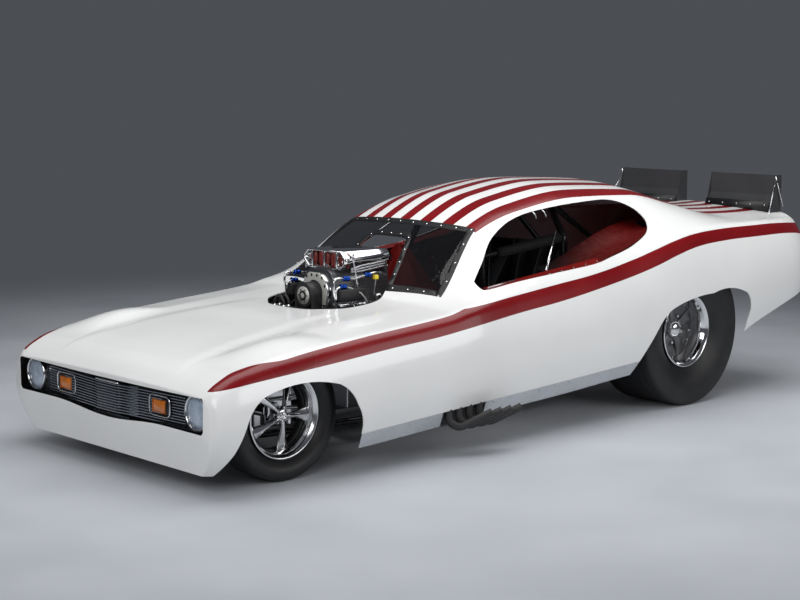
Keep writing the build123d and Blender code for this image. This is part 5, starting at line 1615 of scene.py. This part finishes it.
class BuildPlumbing(bpy.types.Operator):
    """Pipes, hoses, braided lines and coloured fittings round the engine, and its front tray"""

    bl_idname = "dragcar.plumbing"
    bl_label = "Plumbing"

    def execute(self, context):
        lines = []
        for y in (.200, -.200):
            s = 1 if y > 0 else -1
            lines.append(pipe("line", [(1.064, y, .728), (1.076, y, .790), (1.074, y, .838), (1.050, y, .852),
                                       (1.000, y, .848)], .0058, "chrome"))
            lines.append(pipe("line", [(1.052, y, .700), (1.062, y, .760), (1.056, y, .795),
                                       (1.020, y, .808)], .0058, "chrome"))
            lines.append(pipe("line", [(.844, y, .856), (.800, y * 1.02, .866), (.744, y, .861),
                                       (.690, y * .95, .840)], .0048, "chrome"))
            lines.append(pipe("rail", [(1.010, y * .86, .700), (.640, y * .86, .700)], .0085, "polished", smooth=False))
            for k in range(4):
                x = .950 - .092 * k
                lines.append(pipe("nozzle", [(x, y * .86, .700), (x - .004, y * .95, .720), (x - .012, y * 1.02, .700),
                                             (x - .012, y * 1.04, .668)], .0030, "chrome", steps=5, sides=8))
            lines.append(slab("box", (.872, y - .022, .728), (1.046, y + .022, .792), "crackle", .006))
            lines.append(turned("cap", [(0, .021), (.010, .023), (.016, .020), (.020, .012), (.020, .0001)],
                                (.765, y, .734), (0, 0, 1), "chrome", 32))
            lines.append(turned("stem", [(-.060, .012), (0, .012)], (.765, y, .736), (0, 0, 1), "polished", 20))
            lines.append(turned("yellow", [(0, .0165), (.014, .0165), (.022, .012), (.022, .0001)], (.782, y, .830),
                                (0, 0, 1), "yellow", 20))
            lines.append(pipe("yellow_stem", [(.782, y, .832), (.780, y * .95, .780),
                                              (.776, y * .80, .715)], .0050, "braid"))
            for x, z, way in ((.987, .847, (1, 0, .05)), (1.008, .806, (1, 0, .1)), (.844, .856, (-1, 0, -.05))):
                lines.append(turned("fitting", [(-.018, .0100), (-.016, .0142), (-.002, .0142), (0, .0112),
                                                (.010, .0112), (.012, .0135), (.024, .0135), (.024, .008)],
                                    (x, y, z), way, "blue", 6, 20))
            lines.append(pipe("hose", [(.985, y, .847), (.930, y, .842), (.890, y * 1.01, .850),
                                       (.846, y, .856)], .0062, "braid"))
            lines.append(pipe("hose", [(1.006, y, .806), (.960, y * 1.04, .792), (.900, y * 1.10, .760),
                                       (.860, y * 1.15, .700), (.850, y * 1.1, .650)], .0062, "braid"))
            for k, lift in enumerate((0, .013, .026)):
                lines.append(pipe("hose", [(.943, s * .184, .889 - lift * .5),
                                           (.880, s * (.190 + .002 * k), .905 - lift), (.800, s * .190, .912 - lift),
                                           (.720, s * .182, .918 - lift), (.679, s * .168, .912 - lift),
                                           (.660, s * .150, .880 - lift)], .0050, "braid"))
        place(join("engine_lines", lines), "chassis", "polished_metal")
        tray = []
        outline = [(1.130, -.240), (1.130, .240), (1.170, .235), (1.215, .150), (1.228, .0),
                   (1.215, -.150), (1.170, -.235)]
        tray.append(plate("tray", [(x, y, .640) for x, y in outline], (0, 0, 1), .004, "border", .001))
        outline = [(1.126, -.258), (1.126, .258), (1.160, .222), (1.205, .132), (1.218, 0),
                   (1.205, -.132), (1.160, -.222)]
        tray.append(plate("deck", [(x, y, .684) for x, y in outline], (0, 0, 1), .003, "border", .001))
        for x, y in ((1.145, .200), (1.145, -.200), (1.195, .090), (1.195, -.090)):
            tray.append(turned("post", [(0, .0001), (0, .008), (.043, .008), (.043, .0001)], (x, y, .642),
                               (0, 0, 1), "border", 16))
        for side in (1, -1):
            tray.append(slab("leg", *sorted_pair((1.150, side * .2755 - .007, .434),
                                                 (1.170, side * .2755 + .007, .6405)), "black_satin", .002))
            tray.append(slab("foot", *sorted_pair((1.148, side * .240, .632),
                                                  (1.172, side * .2825, .641)), "black_satin", .002))
        place(join("front_tray", tray), "chassis", "cover_black", ("engine_tray",))
        hoses = []
        for x in (1.186, 1.152):
            hoses.append(pipe("hose", [(x, -.075, .686), (x, -.074, .712), (x + .002, -.092, .738), (x, -.112, .745),
                                       (x - .002, -.132, .738), (x, -.150, .712), (x, -.149, .686)], .0080, "hose"))
        place(join("tray_hoses", hoses), "chassis", "belt_rubber")
        ends = []
        for x in (1.186, 1.152):
            for y in (-.149, -.075):
                ends.append(turned("end", [(0, .0110), (.010, .0110), (.012, .0095), (.012, .0001)], (x, y, .6865),
                                   (0, 0, 1), "polished", 20))
        for y in (-.15, -.05, .05, .15):
            ends.append(turned("screw", [(0, .006), (.003, .005), (.004, .0001)], (1.145, y, .644),
                               (0, 0, 1), "steel", 12))
        place(join("tray_fittings", ends), "chassis", "plain_steel")
        return {"FINISHED"}


class BuildEngine(bpy.types.Operator):
    """Valve covers, plug leads, header flanges and bolts"""

    bl_idname = "dragcar.engine"
    bl_label = "Engine Top"

    def execute(self, context):
        covers, leads, flanges, spots = [], [], [], []
        for side in (1, -1):
            out = Vector((0, side, 1)).normalized()
            down = Vector((0, side, -1)).normalized()
            middle = Vector((.730, side * .201, .581))
            turn = Matrix.Translation(middle) @ Matrix((Vector((1, 0, 0)), down, out)).transposed().to_4x4()
            head = slab("head", (-.280, -.085, -.065), (.280, .085, .010), "cast", .006)
            cover = slab("cover", (-.272, -.076, .010), (.272, .076, .062), "crackle", .018, 4)
            flange = slab("flange", (-.279, -.083, .009), (.279, .083, .016), "crackle", .002)
            ribs = repeated("ribs", "bars", "polished", count=7, start=(-.02, -.048, .0615), step=(0, .016, 0),
                            size=(.420, .0042, .004))
            for piece in (head, cover, flange, ribs):
                piece.data.transform(turn)
            if side < 0:
                for piece in (head, cover, flange, ribs):
                    solid_mesh(piece)
            covers += [head, cover, flange, ribs]
            for k in range(7):
                for w in (-.0795, .0795):
                    spots.append((turn @ Vector((-.255 + .085 * k, w, .0165)), out))
            for k in range(4):
                x = .950 - .140 * k
                port = Vector((x, side * .2617, .5206))
                way = down
                one = turned("flange", [(0, .0215), (0, .033), (.006, .033), (.006, .0215)],
                             port + way * .0003, way, "steel", 28)
                flanges.append(one)
                for dx in (-.040, .040):
                    spots.append((port + Vector((dx, 0, 0)) + way * .004, way))
                base = turn @ Vector((x - .730 + .045, .020, .0605))
                boot = pipe("boot", [base - out * .004, base + out * .022,
                                     base + out * .034 + Vector((-.006, side * .004, 0))], .0075,
                                     "hose", steps=4, sides=10)
                leads.append(boot)
                start = base + out * .030
                leads.append(pipe("lead", [start, start + out * .020 + Vector((-.010, 0, 0)),
                                           Vector((x - .060, side * .250, .712)),
                                           Vector((.560, side * .205, .735 + .008 * k)),
                                           Vector((.440, side * (.150 + .010 * k), .720))], .0036,
                                           "wire", steps=6, sides=8))
        place(join("valve_covers", covers), "chassis", "cover_black", ("cylinder_heads",))
        place(join("plug_leads", leads), "chassis", "belt_rubber")
        place(join("port_flanges", flanges), "chassis", "plain_steel")
        heads("engine_bolts", spots, .0062, "steel", "chassis", rise=.7, slot="plain_steel")
        ends = []
        for side in (1, -1):
            for i in range(4):
                x = .889 - .072 * i
                tip = Vector((x - .172, side * 1.000, .224))
                way = (tip - Vector((x + .010, side * .878, .124))).normalized()
                # Partly soot, partly painted shade: a near-black disc closes each pipe end and stands in for the dark
                # hollow inside.
                ends.append(turned("mouth", [(-.0006, .0196), (.0012, .0200), (.0012, .0155), (.0006, .0150),
                                             (.0006, .0001)], tip, way, "soot_and_shade", 32))
                ends.append(turned("rim", [(-.004, .0205), (.0014, .0205), (.0014, .0172),
                                           (0, .0168)], tip, way, "pipe", 32))
        place(join("pipe_mouths", ends), "chassis", "pipe_black")
        return {"FINISHED"}


def cushion(name, low, high, material, crown=.010, pull=.008, seams=(), axis=2, way=1, cuts=18):
    """A crowned pad in a box: corners stand out, sides pull in, and sewn channels run over its face."""
    work = bmesh.new()
    bmesh.ops.create_cube(work, size=2.0)
    bmesh.ops.subdivide_edges(work, edges=work.edges[:], cuts=cuts, use_grid_fill=True)
    size = Vector([(b - a) / 2 for a, b in zip(low, high)])
    mid = Vector([(a + b) / 2 for a, b in zip(low, high)])
    others = [k for k in range(3) if k != axis]
    for vert in work.verts:
        c = vert.co.copy()
        u, v = c[others[0]], c[others[1]]
        ball = c.normalized() * max(abs(c[k]) for k in range(3))
        soft = .16
        c = c * (1 - soft) + ball * soft
        face = (1 - u * u) * (1 - v * v)
        shift = -crown * (1 - face)
        for seam in seams:
            shift -= .006 * math.exp(-((u - seam) / .035) ** 2) * min(1, (1 - v * v) * 3)
        place_at = Vector([c[k] * size[k] for k in range(3)])
        if vert.co[axis] * way > .5:
            place_at[axis] += way * shift
        pinch = 1 - vert.co[axis] ** 2
        for k, other in ((others[0], v), (others[1], u)):
            place_at[k] -= math.copysign(pull * (1 - other * other) * abs(vert.co[k]) ** 8, vert.co[k]) * (.4 + pinch)
        vert.co = mid + place_at
    made = drawn(work, name, material)
    made.data.shade_smooth()
    return made


class BuildCockpit(bpy.types.Operator):
    """Padded seat, harness, steering wheel grip, cage padding and the red sheet inside"""

    bl_idname = "dragcar.cockpit"
    bl_label = "Cockpit"

    def execute(self, context):
        shell = [
            slab("pan", (-.676, -.209, .4535), (-.268, .209, .460), "black_satin", .002),
        ]
        for side in (1, -1):
            shell.append(plate("wing", [(-.676, side * .2085, .455), (-.270, side * .2085, .455),
                                        (-.270, side * .2085, .560),
                                        (-.330, side * .2085, .602), (-.560, side * .2085, .640),
                                        (-.700, side * .2085, .860),
                                        (-.735, side * .2085, .928), (-.755, side * .2085, .928)], (0, -side, 0),
                                        .004, "black_satin", .001))
        back = plate("back", [(-.676, -.209, .455), (-.756, -.209, .929), (-.756, .209, .929), (-.676, .209, .455)],
                     (1, 0, .17), .005, "black_satin", .001)
        place(join("seat_shell", shell + [back]), "chassis", "seat_black", ("seat",))
        base = cushion("base", (-.640, -.198, .458), (-.280, .198, .506), "vinyl", .012, .010, (-.5, 0, .5), 2, 1)
        rest = cushion("rest", (0, -.198, .020), (.042, .198, .430), "vinyl", .012, .010, (-.5, 0, .5), 0, 1)
        lean = Matrix.Translation((-.668, 0, .480)) @ Matrix.Rotation(math.radians(-9.6), 4, "Y")
        rest.data.transform(lean)
        pads = join("seat_cushions", [base, rest])
        place(pads, "chassis", "seat_black")
        straps = []
        for side in (1, -1):
            straps.append(strap([(-.712, side * .085, .900), (-.690, side * .080, .905), (-.640, side * .072, .760),
                                 (-.600, side * .060, .600), (-.520, side * .045, .532),
                                 (-.470, side * .030, .520)], .052))
            straps.append(strap([(-.600, side * .200, .500), (-.585, side * .190, .545), (-.550, side * .110, .530),
                                 (-.480, side * .030, .522)], .052))
        buckle = slab("buckle", (-.500, -.032, .515), (-.446, .032, .531), "chrome", .004)
        place(join("harness", straps), "chassis", "red_tin")
        place(buckle, "chassis", "polished_metal")
        hub = Vector((.110, 0, .790))
        foot = Vector((.370, 0, .640))
        way = (foot - hub).normalized()
        turn = Matrix.Translation(hub) @ way.to_track_quat("Z", "Y").to_matrix().to_4x4()
        grips = []
        ring = [turn @ Vector((.140 * math.cos(a), .140 * math.sin(a),
                               0)) for a in np.linspace(0, 2 * math.pi, 49)[:-1]]
        grips.append(pipe("grip", ring, [.0125 if (i // 3) % 2 else .0135 for i in range(48)], "vinyl", closed=True,
                          smooth=False, sides=16))
        for k in range(3):
            a = math.pi / 2 + 2 * math.pi * k / 3
            u = Vector((math.cos(a), math.sin(a), 0))
            v = Vector((-math.sin(a), math.cos(a), 0))
            pts = [turn @ (u * r + v * w) for r, w in ((.012, -.014), (.134, -.009), (.134, .009), (.012, .014))]
            grips.append(plate("spoke", pts, way, .004, "polished", .001))
        grips.append(turned("hub", [(-.014, .0001), (-.014, .020), (-.010, .026), (.012, .026), (.014, .012),
                                    (.090, .0092), (.238, .0088), (.240, .0001)], hub, way, "steel", 36))
        place(join("wheel_grip", grips), "steering_wheel", "seat_black", ("steering_wheel",))
        foam = []
        for side in (1, -1):
            foam.append(pipe("foam", [(-.560, side * .300, .978), (-.300, side * .300, .949),
                                      (-.040, side * .300, .922)], .030, "foam"))
        foam.append(pipe("foam", [(-.606, -.110, 1.185), (-.606, .110, 1.185)], .033, "foam", smooth=False))
        place(join("cage_padding", foam), "chassis", "seat_black")
        spots = []
        for side in (1, -1):
            for k in range(9):
                x = .440 - .098 * k
                z = .803 + (.900 - .803) * (.476 - x) / .902
                spots.append(((x, side * .775, z + .0045), (0, 0, 1)))
        for y in np.linspace(-.26, .26, 7):
            spots.append(((.4136, y, .740), (1, 0, 0)))
        foot_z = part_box("cockpit_tin")[0][2] + .001
        tin = [slab("bulkhead", (.408, -.285, foot_z), (.4115, .285, .762), "red_tin", .001)]
        ring = [(.412, -.150, .758), (.447, -.118, .758), (.470, -.062, .758), (.478, 0, .758), (.470, .062, .758),
                (.447, .118, .758), (.412, .150, .758)]
        verts = [(.412, 0, .985), (.424, -.012, .975), (.428, 0, .976), (.424, .012, .975)] + ring
        faces = [(0, 1, 2), (0, 2, 3), (0, 4, 5, 1), (1, 5, 6), (1, 6, 2), (2, 6, 7), (2, 7, 8), (2, 8, 3),
                 (3, 8, 9), (0, 3, 9, 10)]
        cowl = new_piece("cowl", verts, faces, "red_tin", smooth=False)
        skin = cowl.modifiers.new("Wall", "SOLIDIFY")
        skin.thickness = .002
        tin.append(bake(cowl))
        for side in (1, -1):
            tin.append(slab("shelf", *sorted_pair((.409, side * .150, .757),
                                                  (.505, side * .285, .760)), "red_tin", .001))
            tin.append(slab("panel", *sorted_pair((.140, side * .297, .520),
                                                  (.410, side * .300, .760)), "red_tin", .001))
            tin.append(plate("slope", [(.409, side * .285, .761), (.409, side * .040, .978), (.409, side * .002, .978),
                                       (.409, side * .002, .761)], (1, 0, 0), .001, "red_tin", .0002))
        place(join("cockpit_sheet", tin), "chassis", "red_tin", ("cockpit_tin",))
        ledge_heads = [s for s in spots if s[1][2] > .5]
        tin_heads = [s for s in spots if s[1][0] > .5]
        heads("ledge_rivets", ledge_heads, .0055, "steel", "shell", slot="plain_steel")
        heads("tin_rivets", tin_heads, .0045, "steel", "chassis", slot="plain_steel")
        rods = []
        for side in (1, -1):
            rods.append(pipe("rod", [(.072, side * .772, .873), (-.154, side * .635, 1.058)], .0065,
                             "chrome", smooth=False))
            rods.append(pipe("rod", [(.520, side * .772, .815), (.300, side * .760, .838)],
                             .0035, "steel", smooth=False))
            for x, z in ((-.04, 1.145), (-.12, 1.150)):
                rods.append(pipe("clip", [(x, side * .560, z + .028), (x, side * .585, z + .010),
                                          (x - .004, side * .590, z - .012)], .0040, "steel", steps=4, sides=8))
        place(join("body_props", rods), "shell", "plain_steel")
        outer = ((-.02, .858), (-.160, .868), (-.302, .880), (-.452, .908), (-.605, .941), (-.735, .980),
                 (-.819, 1.014), (-.872, 1.050))
        inner = ((-.15, .850), (-.259, .868), (-.380, .905), (-.496, .953), (-.650, 1.010), (-.782, 1.049),
                 (-.900, 1.068), (-1.00, 1.075))
        verts, faces = [], []
        for side in (1, -1):
            shift = len(verts)
            for (xo, zo), (xi, zi) in zip(outer, inner):
                yo = .772 - max(0, zo - .90) * .35
                for t in np.linspace(0, 1, 7):
                    verts.append((xo + (xi - xo) * t, side * (yo + (.50 - yo) * t),
                                  zo + (zi - zo) * t - .02 * math.sin(math.pi * t)))
            for i in range(len(outer) - 1):
                for k in range(6):
                    a = shift + i * 7 + k
                    faces.append((a, a + 1, a + 8, a + 7))
        # The shelves' red fades to black by painted shade towards the front and the middle.
        shelf = new_piece("window_shelves", verts, faces, "shelf")
        thick = shelf.modifiers.new("Wall", "SOLIDIFY")
        thick.thickness = .002
        place(crease(bake(shelf), 60), "shell", "red_tin")
        return {"FINISHED"}


def strap(points, width, thick=.0028):
    """A flat web along a route, its width across the car."""
    path = spline(points, 8)
    verts = []
    for i, p in enumerate(path):
        run = (path[min(i + 1, len(path) - 1)] - path[max(i - 1, 0)]).normalized()
        across = Vector((0, 1, 0)) - run * run.y
        if across.length < .3:
            across = Vector((1, 0, 0)) - run * run.x
        across.normalize()
        normal = run.cross(across).normalized()
        for w, h in ((-.5, -.5), (.5, -.5), (.5, .5), (-.5, .5)):
            verts.append(p + across * w * width + normal * h * thick)
    faces = strips(len(path), 4, loop=False, turn=True) + end_caps(len(path), 4)
    return crease(solid_mesh(new_piece("strap", verts, faces, "webbing")), 40)


class BuildChassis(bpy.types.Operator):
    """Finishes of the frame and running gear, and the parachute pack"""

    bl_idname = "dragcar.chassis"
    bl_label = "Chassis"

    def execute(self, context):
        finishes = {
            "black_gloss": ("side_frame_left", "side_frame_right", "cross_tubes", "roll_cage"),
            "chrome": ("front_axle", "tie_rod"),
            "cast": ("rear_axle_housing", "engine_block", "transmission"),
            "polished": ("fuel_tank",),
            "sheet": ("frame_plates",),
            "pipe": ("headers_left", "headers_right"),
            "red_tin": ("window_ledges",),
            "steel": ("steering_column", "knuckle_left", "knuckle_right", "body_hinges"),
            "disc": ("axle_shaft",),
            "black_satin": ("tail_panel",),
            "red_lens": ("tail_lamps",),
            "spoiler": ("spoilers",),
        }
        for finish, nodes in finishes.items():
            for node in nodes:
                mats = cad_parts[node].data.materials
                for i in range(len(mats)):
                    mats[i] = FINISH[finish]
        pack = cushion("pack", (-2.279, -.129, .392), (-2.108, .129, .539), "cloth", .016, .010, (), 2, 1)
        pack.name = "pack_bag"
        place(pack, "chassis", "pack_cloth", ("parachute_pack",))
        bands = []
        for y in (-.070, .070):
            ring = [(-2.281, .392), (-2.281, .528), (-2.262, .541), (-2.125, .541), (-2.107, .528), (-2.107, .392),
                    (-2.125, .389), (-2.262, .389)]
            verts = []
            for x, z in ring:
                way = Vector((x + 2.194, z - .465)).normalized()
                for w, h in ((-.018, -.001), (.018, -.001), (.018, .002), (-.018, .002)):
                    verts.append((x + way.x * h, y + w, z + way.y * h))
            bands.append(crease(solid_mesh(new_piece("band", verts, strips(len(ring), 4), "webbing")), 40))
        place(join("pack_bands", bands), "chassis", "pack_cloth")
        return {"FINISHED"}


EYE = (6.58403, 6.54771, 1.84411)
YAW, PITCH, ROLL, VIEW_ANGLE = (math.radians(a) for a in (-133.294, -7.460, 0.396, 27.534))
ROOM_COLOUR = (0.80, 0.82, 0.85, 1)
FLOOR_FADE = (2.6, 7.5)
LAMPS = (
    ("overhead", (0.2, 0.6, 4.6), (0, 0, 0.6), (7.0, 3.2), 215.0),
    ("front_left", (6.0, 3.2, 3.2), (0.8, 0, 0.5), (3.5, 2.6), 110.0),
    ("side_left", (-2.0, 6.2, 2.6), (-0.6, 0, 0.6), (4.5, 2.2), 100.0),
)


class SetStage(bpy.types.Operator):
    """Pale floor, soft studio light and the camera at the photograph's place"""

    bl_idname = "dragcar.stage"
    bl_label = "Stage"

    def execute(self, context):
        car = context.scene.drag_car
        scene = context.scene
        scene.view_settings.view_transform = "Standard"
        ahead = Vector((math.cos(PITCH) * math.cos(YAW), math.cos(PITCH) * math.sin(YAW), math.sin(PITCH)))
        right = ahead.cross(Vector((0, 0, 1))).normalized()
        up = right.cross(ahead)
        side = right * math.cos(ROLL) + up * math.sin(ROLL)
        top = up * math.cos(ROLL) - right * math.sin(ROLL)
        lens = bpy.data.cameras.new("camera")
        lens.sensor_fit = "HORIZONTAL"
        lens.angle = VIEW_ANGLE
        lens.clip_end = 200
        camera = bpy.data.objects.new("camera", lens)
        scene.collection.objects.link(camera)
        camera.matrix_world = Matrix.Translation(EYE) @ Matrix((side, top, -ahead)).transposed().to_4x4()
        scene.camera = camera
        floor_shade = Shade("pale_floor")
        cloud = floor_shade.noise(1.2, 4.0)
        lit = floor_shade.node("BsdfPrincipled", {}, {
            "Base Color": floor_shade.mix(cloud.step(0.3, 0.7), (0.42, 0.44, 0.47), (0.46, 0.48, 0.51)),
            "Roughness": cloud.step(0.3, 0.7, 0.55, 0.7), "Specular IOR Level": 0.2})
        glow = floor_shade.node("Emission", {}, {"Color": car.backdrop[:], "Strength": 1.0})
        far = (floor_shade.x * floor_shade.x + floor_shade.y * floor_shade.y).math("SQRT").step(*FLOOR_FADE)
        both = floor_shade.node("MixShader", {}, {0: far, 1: lit, 2: glow})
        end = floor_shade.tree.nodes.new("ShaderNodeOutputMaterial")
        floor_shade.tree.links.new(both.socket, end.inputs["Surface"])
        FINISH["floor"] = floor_shade.material
        floor = new_piece("floor", [(-40, -40, 0), (40, -40, 0), (40, 40, 0), (-40, 40, 0)],
                          [(0, 1, 2, 3)], "floor", False)
        world = bpy.data.worlds.new("studio")
        scene.world = world
        world.use_nodes = True
        tree = world.node_tree
        tree.nodes.clear()
        path = tree.nodes.new("ShaderNodeLightPath")
        seen = tree.nodes.new("ShaderNodeMath")
        seen.operation = "MAXIMUM"
        both = tree.nodes.new("ShaderNodeMath")
        both.operation = "MAXIMUM"
        room = tree.nodes.new("ShaderNodeBackground")
        room.inputs["Color"].default_value = ROOM_COLOUR
        room.inputs["Strength"].default_value = car.room_light
        back = tree.nodes.new("ShaderNodeBackground")
        back.inputs["Color"].default_value = (*car.backdrop, 1)
        pick = tree.nodes.new("ShaderNodeMixShader")
        out = tree.nodes.new("ShaderNodeOutputWorld")
        wire(tree, (
            (path.outputs["Is Camera Ray"], seen.inputs[0]),
            (path.outputs["Is Glossy Ray"], seen.inputs[1]),
            (seen.outputs[0], both.inputs[0]),
            (path.outputs["Is Transmission Ray"], both.inputs[1]),
            (both.outputs[0], pick.inputs[0]),
            (room.outputs[0], pick.inputs[1]),
            (back.outputs[0], pick.inputs[2]),
            (pick.outputs[0], out.inputs[0]),
        ))
        for name, spot, aim, size, power in LAMPS:
            data = bpy.data.lights.new(name, "AREA")
            data.shape = "RECTANGLE"
            data.size, data.size_y = size
            data.energy = power * car.light_level
            lamp = bpy.data.objects.new(name, data)
            scene.collection.objects.link(lamp)
            lamp.location = spot
            lamp.rotation_euler = (Vector(aim) - Vector(spot)).to_track_quat("-Z", "Y").to_euler()
        return {"FINISHED"}


class DragCarSettings(bpy.types.PropertyGroup):
    """Sizes and colours of the car"""

    paint: bpy.props.FloatVectorProperty(
        name="Body Paint", description="Main colour of the body", subtype="COLOR", size=3, min=0, max=1,
        default=(0.80, 0.80, 0.79))
    stripe: bpy.props.FloatVectorProperty(
        name="Stripes", description="Colour of the belt and roof stripes", subtype="COLOR", size=3, min=0, max=1,
        default=(0.200, 0.0015, 0.004))
    skin_step: bpy.props.FloatProperty(
        name="Skin Step", description="Length of one face of the body along the car", subtype="DISTANCE", unit="LENGTH",
        default=0.020, min=0.01, max=0.1)
    wall: bpy.props.FloatProperty(
        name="Body Wall", description="Thickness of the body's skin", subtype="DISTANCE", unit="LENGTH", default=0.005,
        min=0.002, max=0.02)
    light_level: bpy.props.FloatProperty(
        name="Light Level", description="Share of the studio lamps' full power", default=1.0, min=0, max=4)
    room_light: bpy.props.FloatProperty(
        name="Room Light", description="Strength of the even light from all round", default=0.42, min=0, max=4)
    backdrop: bpy.props.FloatVectorProperty(
        name="Backdrop", description="Colour of the room behind the car", subtype="COLOR", size=3, min=0, max=1,
        default=(0.072, 0.077, 0.088))


OPERATORS = (
    SetStage, BuildBody, FitWindscreen, FitRockers, FitNose, FitTail, BuildFrontWheels, BuildRearWheels, BuildBlower,
    BuildHat, BuildEngine, BuildPlumbing, BuildCockpit, BuildChassis,
)


class DragCarPanel(bpy.types.Panel):
    """Lists the car's settings and pieces"""

    bl_idname = "VIEW3D_PT_drag_car"
    bl_label = "Drag Car"
    bl_space_type = "VIEW_3D"
    bl_region_type = "UI"
    bl_category = "Drag Car"

    def draw(self, context):
        for key in DragCarSettings.__annotations__:
            self.layout.prop(context.scene.drag_car, key)
        for operator in OPERATORS:
            self.layout.operator(operator.bl_idname)


CLASSES = (DragCarSettings, *OPERATORS, DragCarPanel)


def register():
    for cls in CLASSES:
        bpy.utils.register_class(cls)
    bpy.types.Scene.drag_car = bpy.props.PointerProperty(type=DragCarSettings)


def unregister():
    del bpy.types.Scene.drag_car
    for cls in reversed(CLASSES):
        bpy.utils.unregister_class(cls)


def main():
    register()
    make_finishes(bpy.context.scene.drag_car)
    for operator in OPERATORS:
        group, name = operator.bl_idname.split(".")
        getattr(getattr(bpy.ops, group), name)()


if __name__ == "__main__":
    main()
